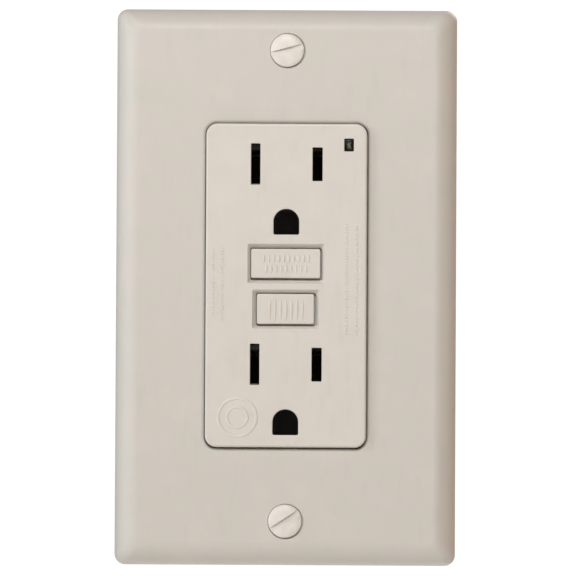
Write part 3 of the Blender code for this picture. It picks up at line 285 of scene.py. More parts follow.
def lathed(name, profile, steps=48):
    """A profile of (radius, along) points spun about Z, closed where the radius is nothing."""
    mesh = bmesh.new()
    levels = []
    for radius, along in profile:
        level = []
        for step in range(steps if radius > 0 else 1):
            turn = math.tau * step / steps
            level.append(mesh.verts.new((radius * math.cos(turn), radius * math.sin(turn), along)))
        levels.append(level)
    for low, high in zip(levels, levels[1:]):
        for step in range(steps):
            after = (step + 1) % steps
            loop = [low[step % len(low)], low[after % len(low)]]
            loop += [high[after % len(high)], high[step % len(high)]]
            mesh.faces.new(list(dict.fromkeys(loop)))
    return as_object(name, closed(mesh))


def closed(mesh):
    """Merges what lies together and turns the faces outwards."""
    bmesh.ops.remove_doubles(mesh, verts=mesh.verts, dist=0.0005 * mm)
    bmesh.ops.recalc_face_normals(mesh, faces=mesh.faces)
    return mesh


def carved(target, tool, operation="DIFFERENCE"):
    """Cuts the tool out of the target, or joins it, and removes the tool."""
    step = target.modifiers.new(operation, "BOOLEAN")
    step.operation = operation
    step.solver = "EXACT"
    step.object = tool
    bpy.context.view_layer.update()
    seen = target.evaluated_get(bpy.context.evaluated_depsgraph_get())
    target.data = bpy.data.meshes.new_from_object(seen)
    target.modifiers.clear()
    bpy.data.objects.remove(tool, do_unlink=True)
    return target


def block(name, low, high):
    """A box between two opposite corners."""
    mesh = bmesh.new()
    bmesh.ops.create_cube(mesh, size=1)
    size = [b - a for a, b in zip(low, high)]
    middle = [(a + b) / 2 for a, b in zip(low, high)]
    mesh.transform(Matrix.Translation(middle) @ Matrix.Diagonal((*size, 1)))
    return as_object(name, mesh)


def merged(name, *parts):
    """Several objects as one plain mesh; each part's own mesh is used up."""
    mesh = bmesh.new()
    for part in parts:
        part.data.transform(part.matrix_world)
        mesh.from_mesh(part.data)
        bpy.data.objects.remove(part, do_unlink=True)
    return as_object(name, mesh)


def slotted_screw(name, head, slot, turn, shank, finish):
    """A screw along Z, whose head's top is its lowest point.

    The head is a profile of (radius, along) points, the driver slot is (width, depth, length)
    and the threaded shank is (radius, start, end).
    """
    cap = lathed(name, head)
    top = min(along for _, along in head)
    width, depth, length = slot
    low = (-length / 2, -width / 2, top - 2 * mm)
    high = (length / 2, width / 2, top + depth)
    cutter = block("slot", low, high)
    cutter.data.transform(Matrix.Rotation(turn, 4, "Z"))
    carved(cap, cutter)
    settled(rounded_edges(cap, head_edge))
    radius, start, end = shank
    if finish.name not in threads:
        threads[finish.name] = thread_tree(finish)
    sizes = {
        "Radius": radius,
        "Depth": thread_depth,
        "Pitch": thread_pitch,
        "Length": end - start,
        "Rows": max(6, round((end - start) / thread_pitch * rows_per_turn)),
    }
    rod = grown("rod", threads[finish.name], sizes)
    rod.data.transform(Matrix.Translation((0, 0, (start + end) / 2)))
    rod.data.shade_smooth()
    made = merged(name, cap, rod)
    return dressed(made, finish)


head_edge = 0.07 * mm
thread_pitch = 0.79375 * mm
thread_depth = 0.42 * mm
rows_per_turn = 6
threads = {}
screw_steel = sheet_metal("screw_zinc", (0.52, 0.52, 0.50), (0.70, 0.68, 0.63), rough=(0.22, 0.36))
along_y = Matrix.Rotation(math.radians(-90), 4, "X")
seat = 1.6 * mm
slot = (1.05 * mm, 0.85 * mm, 9 * mm)
slot_turn = 0.5
for end in ("top", "bottom"):
    low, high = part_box(f"mounting_screw_{end}")
    z = (low.z + high.z) / 2
    radius = (high.x - low.x) / 2
    head = [(0, 0), (0.35 * radius, 0.03 * mm), (0.7 * radius, 0.22 * mm), (0.9 * radius, 0.5 * mm)]
    head += [(radius, 0.95 * mm), (radius, seat), (1.3 * mm, seat), (0, seat)]
    shank = (1.725 * mm, seat - 0.1 * mm, high.y - low.y - 0.02 * mm)
    screw = slotted_screw(f"box_screw_{end}", head, slot, slot_turn, shank, screw_steel)
    screw.data.transform(Matrix.Translation((0, low.y, z)) @ along_y)
    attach(screw, "device")
    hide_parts(f"mounting_screw_{end}")

fibre, graph, shader = new_finish("vulcanised_fibre")
strands = grain(graph, 900, 5.0, (1, 1, 0.25))
fibre_red = ramp(graph, strands, (0.20, 0.035, 0.02), (0.34, 0.075, 0.045))
link(graph, fibre_red, shader.inputs["Base Color"])
link(graph, bumped(graph, strands, 0.04 * mm), shader.inputs["Normal"])
shader.inputs["Roughness"].default_value = 0.62
for end in ("top", "bottom"):
    washer = dressed(worn_copy(f"retainer_washer_{end}", 0.1 * mm), fibre)
    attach(washer, "device")
    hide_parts(f"retainer_washer_{end}")

# ---- green ground screw
# A binding screw of zinc-plated steel, dyed green to mark the ground. It turns in the strap's bent
# tab, its head facing sideways, and holds the ground wire under the head.

green = sheet_metal("green_dyed_zinc", (0.02, 0.16, 0.05), (0.05, 0.27, 0.11), rough=(0.25, 0.4))
low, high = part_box("ground_screw")
radius = (high.y - low.y) / 2
middle = ((low.y + high.y) / 2, (low.z + high.z) / 2)
seat = 2.2 * mm
head = [(0, 0), (0.80 * radius, 0), (0.93 * radius, 0.14 * mm), (radius, 0.55 * mm), (radius, seat)]
head += [(1.5 * mm, seat), (0, seat)]
shank = (2.05 * mm, seat - 0.1 * mm, high.x - low.x)
slot = (1.2 * mm, 1.0 * mm, 12 * mm)
slot_turn = 0.9
screw = slotted_screw("ground_terminal", head, slot, slot_turn, shank, green)
screw.data.transform(Matrix.Translation((low.x, *middle)) @ Matrix.Rotation(math.radians(90), 4, "Y"))
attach(screw, "ground_screw")
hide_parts("ground_screw")

# ---- rear housing
# The back of the case is one deep thermoset moulding in near-black, with a matt, faintly stippled
# skin. It has windows at the four terminals, wire holes in its back and raised frames round them.


def moulded(name, low, high, rough=(0.36, 0.48), scale=140, stipple=0.006 * mm, specular=0.5):
    """Moulded plastic: faint mottling and scuffs, a fine stippled skin, slow changes in gloss."""
    made, graph, shader = new_finish(name)
    mottle = ramp(graph, grain(graph, scale, 3.0), low, high, 0.3, 0.7)
    clean = (1, 1, 1)
    scuffed = (0.97, 0.97, 0.97)
    scuffs = ramp(graph, grain(graph, 520, 6.0, (1, 1, 0.22)), clean, scuffed, 0.56, 0.72)
    rubbed = graph.nodes.new("ShaderNodeMix")
    rubbed.data_type = "RGBA"
    rubbed.blend_type = "MULTIPLY"
    rubbed.inputs[0].default_value = 1.0
    link(graph, mottle, rubbed.inputs[6])
    link(graph, scuffs, rubbed.inputs[7])
    link(graph, rubbed.outputs[2], shader.inputs["Base Color"])
    link(graph, spread(graph, grain(graph, 420, 2.0), *rough), shader.inputs["Roughness"])
    skin = bumped(graph, grain(graph, 5200, 2.0), stipple)
    wave = bumped(graph, grain(graph, 90, 1.0), 0.02 * mm, under=skin)
    link(graph, wave, shader.inputs["Normal"])
    shader.inputs["Specular IOR Level"].default_value = specular
    return made


phenolic = moulded(
    "black_phenolic", (0.020, 0.020, 0.022), (0.026, 0.026, 0.028), (0.42, 0.52), stipple=0.012 * mm
)
housing = worn_copy("rear_housing", 0.35 * mm, 3)
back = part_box("rear_housing")[1].y
eased = 0.08 * mm
sunk = 0.1 * mm


def back_frame(width, height, thick, rise):
    """A raised rectangular frame for the housing's back, round a pair of wire holes."""
    outer = block("rim", (-width / 2, 0, -height / 2), (width / 2, rise, height / 2))
    low = (thick - width / 2, -1 * mm, thick - height / 2)
    high = (width / 2 - thick, 1 * mm, height / 2 - thick)
    carved(outer, block("inner", low, high))
    return settled(rounded_edges(outer, eased, 2))


low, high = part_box("terminal_screw_load_hot")
terminal_z = (low.z + high.z) / 2
wire_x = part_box("clamp_plate_load_hot")[1].x - 0.9 * mm
frames = []
for sx in (-1, 1):
    for sz in (-1, 1):
        rim = back_frame(5.2 * mm, 12.2 * mm, 0.5 * mm, 0.22 * mm)
        rim.data.transform(Matrix.Translation((sx * wire_x, back - sunk, sz * terminal_z)))
        frames.append(rim)
rib_half = 0.45 * mm
ribs = []
for x in (-6, -3, 0, 3, 6):
    low = (x * mm - rib_half, back - sunk, -24 * mm)
    high = (x * mm + rib_half, back + 0.12 * mm, -10 * mm)
    ribs.append(settled(rounded_edges(block("rib", low, high), eased, 2)))
housing = dressed(merged("case_back", housing, *frames, *ribs), phenolic)
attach(housing, "device")
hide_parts("rear_housing")

# ---- case screws
# Four long slotted screws of zinc-plated steel. They come in from the back, one near each corner,
# and clamp the housing to the face cover.

slot = (0.8 * mm, 0.85 * mm, 8 * mm)
for number in range(1, 5):
    low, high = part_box(f"case_screw_{number}")
    radius = (high.x - low.x) / 2
    head = [(0, 0), (0.4 * radius, 0.02 * mm), (0.75 * radius, 0.2 * mm), (0.93 * radius, 0.5 * mm)]
    head += [(radius, 0.9 * mm), (radius, 1.8 * mm), (1.0 * mm, 1.8 * mm), (0, 1.8 * mm)]
    shank = (1.28 * mm, 1.7 * mm, high.y - low.y)
    slot_turn = 0.4 + 1.3 * number
    screw = slotted_screw(f"housing_screw_{number}", head, slot, slot_turn, shank, screw_steel)
    place = Vector(((low.x + high.x) / 2, high.y, (low.z + high.z) / 2))
    screw.data.transform(Matrix.Translation(place) @ Matrix.Rotation(math.radians(90), 4, "X"))
    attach(screw, "device")
    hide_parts(f"case_screw_{number}")

# ---- terminal screws and clamp plates
# Large binding-head screws: brass on the hot side, nickel on the neutral side. Each pulls a ribbed
# steel clamp plate against the terminal, with the wire between them.

brass = sheet_metal(
    "rolled_brass", (0.60, 0.40, 0.13), (0.78, 0.58, 0.26), rough=(0.2, 0.34), brush=(1, 0.1, 1)
)
nickel = sheet_metal("nickel_plate", (0.60, 0.58, 0.53), (0.74, 0.72, 0.67), rough=(0.2, 0.32))
seat = 2.4 * mm
slot = (1.25 * mm, 1.05 * mm, 12 * mm)
for side, finish, slot_name, inward in (("hot", brass, "brass", -1), ("neutral", nickel, "nickel", 1)):
    for row, row_turn in (("line", 0.6), ("load", 2.1)):
        node = f"terminal_screw_{row}_{side}"
        low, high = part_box(node)
        radius = (high.y - low.y) / 2
        head = [(0, 0), (0.78 * radius, 0), (0.9 * radius, 0.1 * mm), (0.97 * radius, 0.35 * mm)]
        head += [(radius, 0.7 * mm), (radius, seat), (1.4 * mm, seat), (0, seat)]
        slot_turn = row_turn + inward * 0.4
        shank = (2.05 * mm, seat - 0.1 * mm, high.x - low.x)
        screw = slotted_screw(f"binding_screw_{row}_{side}", head, slot, slot_turn, shank, finish)
        outside = high.x if inward < 0 else low.x
        spin = Matrix.Rotation(math.radians(90 * inward), 4, "Y")
        place = Matrix.Translation((outside, (low.y + high.y) / 2, (low.z + high.z) / 2))
        screw.data.transform(place @ spin)
        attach(screw, f"{row}_{side}_screw")
        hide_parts(node)
        clamp = dressed(worn_copy(f"clamp_plate_{row}_{side}", 0.18 * mm), screw_steel)
        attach(clamp, f"{row}_{side}_clamp")
        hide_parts(f"clamp_plate_{row}_{side}")

# ---- contact strips, line terminals and ground clips
# Bent from spring brass sheet: blade grips, load terminals and fixed-contact tabs in one piece each
# side, and the line terminals with their bars. The brass is painted near-black brown in the middle of
# the case, a painted shade where it shows through the slots, and is bright at the terminals.
# The ground clips on the strap are duller bronze.

shaded_brass, graph, shader = new_finish("spring_brass_painted_shade")
shader.inputs["Metallic"].default_value = 1.0
place = graph.nodes.new("ShaderNodeTexCoord")
parts = graph.nodes.new("ShaderNodeSeparateXYZ")
link(graph, place.outputs["Object"], parts.inputs["Vector"])
# Painted shade: brass within 14.5 mm of the middle, seen through the slots, is near-black brown.
bright_beyond = 14.5 * mm
outwards = maths(graph, "DIVIDE", maths(graph, "ABSOLUTE", parts.outputs["X"]), bright_beyond)
patchy = maths(graph, "MULTIPLY", maths(graph, "SUBTRACT", grain(graph, 600, 4.0), 0.5), 0.25)
bright = maths(graph, "ADD", outwards, patchy)
brown_to_gold = ramp(graph, bright, (0.030, 0.022, 0.014), (0.70, 0.50, 0.20), 0.9, 1.05)
link(graph, brown_to_gold, shader.inputs["Base Color"])
marks = grain(graph, 2600, 2.0, (1, 0.1, 1))
link(graph, spread(graph, marks, 0.35, 0.5), shader.inputs["Roughness"])
link(graph, bumped(graph, marks, 0.012 * mm), shader.inputs["Normal"])
dull, graph, shader = new_finish("dull_bronze")
film = grain(graph, 900, 3.0)
link(graph, ramp(graph, film, (0.44, 0.42, 0.42), (0.56, 0.53, 0.53)), shader.inputs["Base Color"])
link(graph, spread(graph, film, 0.5, 0.65), shader.inputs["Roughness"])
shader.inputs["Metallic"].default_value = 0.5
strips = {
    "hot_contact_strip": shaded_brass,
    "neutral_contact_strip": shaded_brass,
    "line_hot_terminal": shaded_brass,
    "line_neutral_terminal": shaded_brass,
    "ground_clip_upper": dull,
    "ground_clip_lower": dull,
}
for node, finish in strips.items():
    sheet = dressed(worn_copy(node, 0.09 * mm, 2), finish)
    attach(sheet, "device")
    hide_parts(node)

# ---- inner frame
# The contact carrier, a grey-brown moulding that fills the front of the case and keeps the strips
# apart. The lifter behind it, which moves the contact arms, is moulded in the same plastic.

carrier = moulded(
    "carrier_moulding", (0.36, 0.35, 0.35), (0.42, 0.41, 0.40), (0.45, 0.6), stipple=0.01 * mm
)
dressed(nodes["inner_frame"], carrier)
dressed(nodes["lifter"], carrier)

# ---- latch, arms, contacts and solenoid
# Small stampings and turned steel on the carrier's back, with silver contact rivets, and a copper
# winding on a black bobbin inside a folded steel yoke.


def wound(name, low, high, step, axis):
    """Enamelled wire in close turns: ridges every step along an axis, painted shade between them."""
    made, graph, shader = new_finish(name)
    own_step = 0.314
    place = graph.nodes.new("ShaderNodeTexCoord")
    turns = graph.nodes.new("ShaderNodeTexWave")
    turns.wave_type = "BANDS"
    turns.bands_direction = axis
    turns.inputs["Scale"].default_value = own_step / step
    turns.inputs["Distortion"].default_value = 0.4
    link(graph, place.outputs["Object"], turns.inputs["Vector"])
    # The low colour is painted shade in the grooves between turns, the high colour the lit ridges.
    link(graph, ramp(graph, turns.outputs["Fac"], low, high, 0.1, 0.8), shader.inputs["Base Color"])
    link(graph, bumped(graph, turns.outputs["Fac"], step / 3), shader.inputs["Normal"])
    shader.inputs["Roughness"].default_value = 0.3
    shader.inputs["Metallic"].default_value = 0.6
    return made


shaft_steel = sheet_metal("bright_steel", (0.50, 0.49, 0.47), (0.62, 0.61, 0.58), rough=(0.2, 0.3))
for node in ("latch_plate", "solenoid_yoke", "plunger", "reset_shaft"):
    dressed(nodes[node], shaft_steel)
for node in ("hot_arm", "neutral_arm", "test_leaf"):
    dressed(nodes[node], brass)
for side in ("hot", "neutral"):
    for kind in ("fixed", "moving"):
        dressed(nodes[f"{side}_{kind}_contact"], nickel)
dressed(nodes["solenoid_bobbin"], phenolic)
dressed(nodes["coil_housing"], phenolic)
windings = {
    "solenoid_winding": ("copper_winding", (0.22, 0.07, 0.03), (0.62, 0.27, 0.12), 0.25 * mm, "Z"),
    "sense_coil": ("sense_winding", (0.30, 0.10, 0.04), (0.62, 0.28, 0.12), 0.3 * mm, "DIAGONAL"),
    "neutral_coil": ("green_winding", (0.03, 0.12, 0.06), (0.10, 0.30, 0.16), 0.3 * mm, "DIAGONAL"),
}
for node, winding in windings.items():
    dressed(nodes[node], wound(*winding))

# ---- springs
# Plain coils of spring wire: one returns the reset button, one the plunger.


def coil_tree(finish):
    """Round wire swept along a helix that climbs along Z."""
    sizes = {"Radius": 2.4 * mm, "Wire": 0.3 * mm, "Length": 9 * mm, "Turns": 6.0}
    graph, given = new_tree("coil_of_wire", sizes)
    helix = graph.nodes.new("GeometryNodeCurveSpiral")
    helix.inputs["Resolution"].default_value = 28
    link(graph, given["Turns"], helix.inputs["Rotations"])
    link(graph, given["Radius"], helix.inputs["Start Radius"])
    link(graph, given["Radius"], helix.inputs["End Radius"])
    link(graph, given["Length"], helix.inputs["Height"])
    round_wire = graph.nodes.new("GeometryNodeCurvePrimitiveCircle")
    round_wire.inputs["Resolution"].default_value = 10
    link(graph, given["Wire"], round_wire.inputs["Radius"])
    sweep = graph.nodes.new("GeometryNodeCurveToMesh")
    sweep.inputs["Fill Caps"].default_value = True
    link(graph, helix.outputs["Curve"], sweep.inputs["Curve"])
    link(graph, round_wire.outputs["Curve"], sweep.inputs["Profile Curve"])
    end_tree(graph, sweep.outputs["Mesh"], finish)
    return graph


coil = coil_tree(shaft_steel)
low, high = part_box("reset_spring")
wire = 0.6 * mm
sizes = {
    "Radius": (high.x - low.x - wire) / 2,
    "Wire": wire / 2,
    "Length": high.y - low.y - wire,
    "Turns": 5.5,
}
spring = grown("reset_return_spring", coil, sizes)
middle = ((low.x + high.x) / 2, low.y + wire / 2, (low.z + high.z) / 2)
spring.data.transform(Matrix.Translation(middle) @ along_y)
spring.data.shade_smooth()
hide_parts("reset_spring")
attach(spring, "device")
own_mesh(spring)

low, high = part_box("plunger_spring")
wire = 0.4 * mm
sizes = {
    "Radius": (high.x - low.x - wire) / 2,
    "Wire": wire / 2,
    "Length": high.z - low.z - wire,
    "Turns": 4.5,
}
spring = grown("plunger_return_spring", coil, sizes)
foot = ((low.x + high.x) / 2, (low.y + high.y) / 2, low.z + wire / 2)
spring.data.transform(Matrix.Translation(foot))
spring.data.shade_smooth()
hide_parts("plunger_spring")
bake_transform(spring)

# ---- circuit board and its parts
# A glass-fibre board under green lacquer, at the back of the case. It carries what drives the
# solenoid and the status light: a lacquered disc and resistor, chips, a capacitor and a diode.

board, graph, shader = new_finish("solder_mask")
weave = grain(graph, 1800, 2.0)
link(graph, ramp(graph, weave, (0.012, 0.12, 0.045), (0.03, 0.19, 0.08)), shader.inputs["Base Color"])
link(graph, bumped(graph, weave, 0.02 * mm), shader.inputs["Normal"])
shader.inputs["Roughness"].default_value = 0.35
dressed(nodes["circuit_board"], board)
part_finishes = {
    "varistor": moulded("blue_lacquer", (0.015, 0.07, 0.26), (0.03, 0.12, 0.36), (0.2, 0.35)),
    "filter_capacitor": moulded("red_film_case", (0.30, 0.035, 0.02), (0.42, 0.06, 0.03), (0.25, 0.4)),
    "scr": moulded("black_epoxy", (0.012, 0.012, 0.013), (0.024, 0.024, 0.025), (0.4, 0.55)),
    "test_resistor": moulded("tan_lacquer", (0.44, 0.32, 0.18), (0.56, 0.43, 0.27), (0.3, 0.45)),
    "status_led": moulded("white_diffuser", (0.62, 0.61, 0.53), (0.72, 0.71, 0.63), (0.25, 0.4)),
}
part_finishes["control_chip"] = part_finishes["scr"]
for node, finish in part_finishes.items():
    dressed(nodes[node], finish)

# ---- face cover
# The front of the device, moulded in almond nylon. Its flat face has softly rounded edges, two
# sets of blade slots and ground holes, two button wells with sloping sides and a status window.


def round_box(width, height, radius, x=0, z=0, steps=6):
    """Outline of a rectangle whose corners are arcs."""
    radius = max(radius, 0.01 * mm)
    points = []
    for corner, (sx, sz) in enumerate(((1, 1), (-1, 1), (-1, -1), (1, -1))):
        for step in range(steps + 1):
            turn = math.radians(90 * (corner + step / steps))
            across = x + sx * (width / 2 - radius) + radius * math.cos(turn)
            points.append((across, z + sz * (height / 2 - radius) + radius * math.sin(turn)))
    return points


def ground_shape(radius, x, z, grow, corner=0.35 * mm, steps=5):
    """A D on its side, flat below and round above, with eased lower corners."""
    reach = radius + grow
    arc = [math.pi * step / 24 for step in range(25)]
    points = [(x + reach * math.cos(t), z + reach * math.sin(t)) for t in arc]
    ease = corner + grow
    for sx, first in ((-1, math.pi), (1, 1.5 * math.pi)):
        for step in range(steps + 1):
            turn = first + math.radians(90 * step / steps)
            across = x + sx * (reach - ease) + ease * math.cos(turn)
            points.append((across, z - (reach - ease) + ease * math.sin(turn)))
    return points


def ring(mesh, outline, y):
    """A loop of corners on an outline, at one depth."""
    return [mesh.verts.new((x, y, z)) for x, z in outline]


def skin(mesh, rings):
    """Walls of four-sided faces from each ring to the next."""
    for low, high in zip(rings, rings[1:]):
        for step in range(len(low)):
            after = (step + 1) % len(low)
            mesh.faces.new((low[step], low[after], high[after], high[step]))


def flat_between(mesh, outer, holes):
    """Fills the flat between an outer ring and the rings of its holes."""
    loops = [outer, *holes]
    corners = tessellate_polygon([[(v.co.x, v.co.z, 0) for v in loop] for loop in loops])
    flat = [v for loop in loops for v in loop]
    for corner in corners:
        mesh.faces.new([flat[index] for index in corner])


def lip(mesh, shape, y, radius, depth, steps=4):
    """The rounded edge and wall of an opening, from the face down. Returns its rings."""
    rings = []
    for step in range(steps + 1):
        turn = math.radians(90 * step / steps)
        outline = shape(radius * (1 - math.sin(turn)))
        rings.append(ring(mesh, outline, y + radius * (1 - math.cos(turn))))
    rings.append(ring(mesh, shape(0), y + depth))
    skin(mesh, rings)
    return rings


almond = moulded(
    "almond_nylon", (0.608, 0.591, 0.550), (0.636, 0.619, 0.576), (0.34, 0.44), specular=0.45
)
face_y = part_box("face_cover")[0].y
face_w = 33.0 * mm
face_h = 66.5 * mm
face_corner = 2.3 * mm
slab_end = face_y + 1.5 * mm
blade_x = 6.35 * mm
blade_rows = (24.9 * mm, -16.3 * mm)
blade_slots = ((2.05 * mm, 6.9 * mm, blade_x), (1.9 * mm, 8.45 * mm, -blade_x))
ground_drop = 11.85 * mm
ground_radius = 2.64 * mm
edge = 0.45 * mm
hole_edge = 0.16 * mm
mesh = bmesh.new()
outer = []
for step in range(7):
    turn = math.radians(90 * step / 6)
    inset = edge * (1 - math.sin(turn))
    outline = round_box(face_w - 2 * inset, face_h - 2 * inset, face_corner - inset, steps=10)
    outer.append(ring(mesh, outline, face_y + edge * (1 - math.cos(turn))))
outer.append(ring(mesh, round_box(face_w, face_h, face_corner, steps=10), slab_end))
skin(mesh, outer)
shapes = []
for row in blade_rows:
    for width, height, x in blade_slots:
        shapes.append(
            lambda grow, w=width, h=height, x=x, z=row: round_box(
                w + 2 * grow, h + 2 * grow, 0.12 * mm + grow, x, z, 3
            )
        )
    shapes.append(lambda grow, z=row - ground_drop: ground_shape(ground_radius, 0, z, grow))
light_low, light_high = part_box("status_light_pipe")
light_at = ((light_low.x + light_high.x) / 2, (light_low.z + light_high.z) / 2)
shapes.append(
    lambda grow: round_box(1.95 * mm + 2 * grow, 2.6 * mm + 2 * grow, 0.15 * mm + grow, *light_at, 3)
)
openings = [lip(mesh, shape, face_y, hole_edge, slab_end - face_y) for shape in shapes]
# Each well in millimetres: middle height, width and height of the well, width and height of the cap.
well_sizes = (("reset_button", 4.4, 15.8, 8.1, 14.2, 6.0), ("test_button", -4.95, 13.8, 8.0, 11.7, 6.2))
# The wells' sloping sides in millimetres: how far past the well's size, and how deep.
well_sides = ((0.1, 0), (0.04, 0.02), (0, 0.07), (-0.55, 1.02), (-0.62, 1.12))
cap_room = 0.6
for name, z, wide, tall, cap_w, cap_h in well_sizes:
    z *= mm
    rings = []
    for grow, y in well_sides:
        outline = round_box((wide + 2 * grow) * mm, (tall + 2 * grow) * mm, 0.35 * mm, 0, z, 3)
        rings.append(ring(mesh, outline, face_y + y * mm))
    for y in (1.2, 1.5):
        outline = round_box((cap_w + cap_room) * mm, (cap_h + cap_room) * mm, 0.35 * mm, 0, z, 3)
        rings.append(ring(mesh, outline, face_y + y * mm))
    skin(mesh, rings)
    openings.append(rings)
flat_between(mesh, outer[0], [rings[0] for rings in openings])
flat_between(mesh, outer[-1], [rings[-1] for rings in openings])
slab = as_object("face_slab", closed(mesh))
rear = worn_copy("face_cover", 0.08 * mm, 1)
low = (-face_w, face_y - 1 * mm, -face_h)
high = (face_w, slab_end - 0.01 * mm, face_h)
carved(rear, block("front_half", low, high))
carved(rear, slab, "UNION")
rear.name = "device_face"
face = settled(rear, 38)
dressed(face, almond)
# Painted shade: the walls of the blade slots and ground holes, deeper than 0.3 mm below the face, get a
# near-black finish.
slot_shade = moulded("slot_walls_painted_shade", (0.05, 0.046, 0.042), (0.09, 0.082, 0.072), (0.5, 0.65))
face.data.materials.append(slot_shade)
blade_reach = (1.08 * mm, 4.28 * mm)
ground_reach = ground_radius + 0.05 * mm
walls_start = face_y + 0.3 * mm
for polygon in face.data.polygons:
    x, y, z = polygon.center
    for row in blade_rows:
        in_blades = abs(abs(x) - blade_x) < blade_reach[0] and abs(z - row) < blade_reach[1]
        in_ground = abs(x) < ground_reach and abs(z - row + ground_drop) < ground_reach
        if y > walls_start and (in_blades or in_ground):
            polygon.material_index = 1
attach(face, "device")
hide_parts("face_cover")

# ---- raised marks on the face
# Low moulded relief: rows of short dashes down both sides and two plain rings, one in the other,
# near the lower left corner. They stand about a tenth of a millimetre proud of the face.


def dash_tree(finish):
    """Flattened round bars in a row along X; Least is the share that the thinnest one keeps."""
    sizes = {
        "Count": 8,
        "Step": 1.2 * mm,
        "Length": 0.7 * mm,
        "Width": 0.3 * mm,
        "Rise": 0.1 * mm,
        "Seed": 1,
        "Least": 0.9,
        "Fineness": 2,
    }
    graph, given = new_tree("row_of_dashes", sizes)
    line = graph.nodes.new("GeometryNodeMeshLine")
    line.mode = "OFFSET"
    link(graph, given["Count"], line.inputs["Count"])
    offset = graph.nodes.new("ShaderNodeCombineXYZ")
    link(graph, given["Step"], offset.inputs["X"])
    link(graph, offset.outputs["Vector"], line.inputs["Offset"])
    body = graph.nodes.new("GeometryNodeMeshIcoSphere")
    body.inputs["Radius"].default_value = 0.5
    link(graph, given["Fineness"], body.inputs["Subdivisions"])
    size = graph.nodes.new("ShaderNodeCombineXYZ")
    link(graph, given["Length"], size.inputs["X"])
    link(graph, given["Width"], size.inputs["Y"])
    link(graph, maths(graph, "MULTIPLY", given["Rise"], 2.0), size.inputs["Z"])
    change = graph.nodes.new("FunctionNodeRandomValue")
    change.data_type = "FLOAT_VECTOR"
    least = graph.nodes.new("ShaderNodeCombineXYZ")
    least.inputs["X"].default_value = 0.85
    link(graph, given["Least"], least.inputs["Y"])
    link(graph, given["Least"], least.inputs["Z"])
    link(graph, least.outputs["Vector"], change.inputs[0])
    change.inputs[1].default_value = (1.1, 1.0, 1.0)
    link(graph, given["Seed"], change.inputs["Seed"])
    scaled = graph.nodes.new("ShaderNodeVectorMath")
    scaled.operation = "MULTIPLY"
    link(graph, size.outputs["Vector"], scaled.inputs[0])
    link(graph, change.outputs[0], scaled.inputs[1])
    put = graph.nodes.new("GeometryNodeInstanceOnPoints")
    link(graph, line.outputs["Mesh"], put.inputs["Points"])
    link(graph, body.outputs["Mesh"], put.inputs["Instance"])
    link(graph, scaled.outputs["Vector"], put.inputs["Scale"])
    end_tree(graph, put.outputs["Instances"], finish)
    return graph


dashes = dash_tree(almond)
facing = Matrix.Rotation(math.radians(90), 4, "X")
downwards = Matrix.Rotation(math.radians(-90), 4, "Z")
marks = []
# Each column in millimetres: its place across, its top, how many dashes and how far apart.
columns = (
    (12.3, 12.6, 42, 0.55),
    (14.4, 12.2, 44, 0.52),
    (-13.2, 8.0, 30, 0.54),
    (-15.0, 7.4, 27, 0.52),
)
for number, (x, top, count, step) in enumerate(columns):
    sizes = {
        "Count": count,
        "Step": step * mm,
        "Length": 0.34 * mm,
        "Width": 1.15 * mm,
        "Rise": 0.12 * mm,
        "Seed": number,
        "Least": 0.35,
        "Fineness": 2,
    }
    column = grown("column", dashes, sizes)
    place = Matrix.Translation((x * mm, face_y, top * mm))
    column.data.transform(place @ facing @ downwards)
    marks.append(column)


def circle(radius, x, z, steps=48):
    """Outline of a circle."""
    turns = [math.tau * step / steps for step in range(steps)]
    return [(x + radius * math.cos(turn), z + radius * math.sin(turn)) for turn in turns]


mesh = bmesh.new()
ring_at = (-9.9 * mm, -27.2 * mm)
for radius, thick in ((3.9 * mm, 0.34 * mm), (2.1 * mm, 0.28 * mm)):
    levels = []
    for side in range(12):
        angle = math.tau * side / 12
        outline = circle(radius + thick * math.cos(angle), *ring_at)
        levels.append(ring(mesh, outline, face_y - 0.11 * mm * math.sin(angle)))
    skin(mesh, [*levels, levels[0]])
marks.append(as_object("rings", closed(mesh)))
relief = dressed(merged("face_relief", *marks), almond)
relief.data.shade_smooth()
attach(relief, "device")

# ---- reset and test buttons
# Square-cut caps moulded in the same nylon. Their flat tops have crisp, slightly eased edges and
# low raised ribs for the fingertip.

soft = 0.22 * mm
play = 0.1 * mm
cap_corner = 0.35 * mm
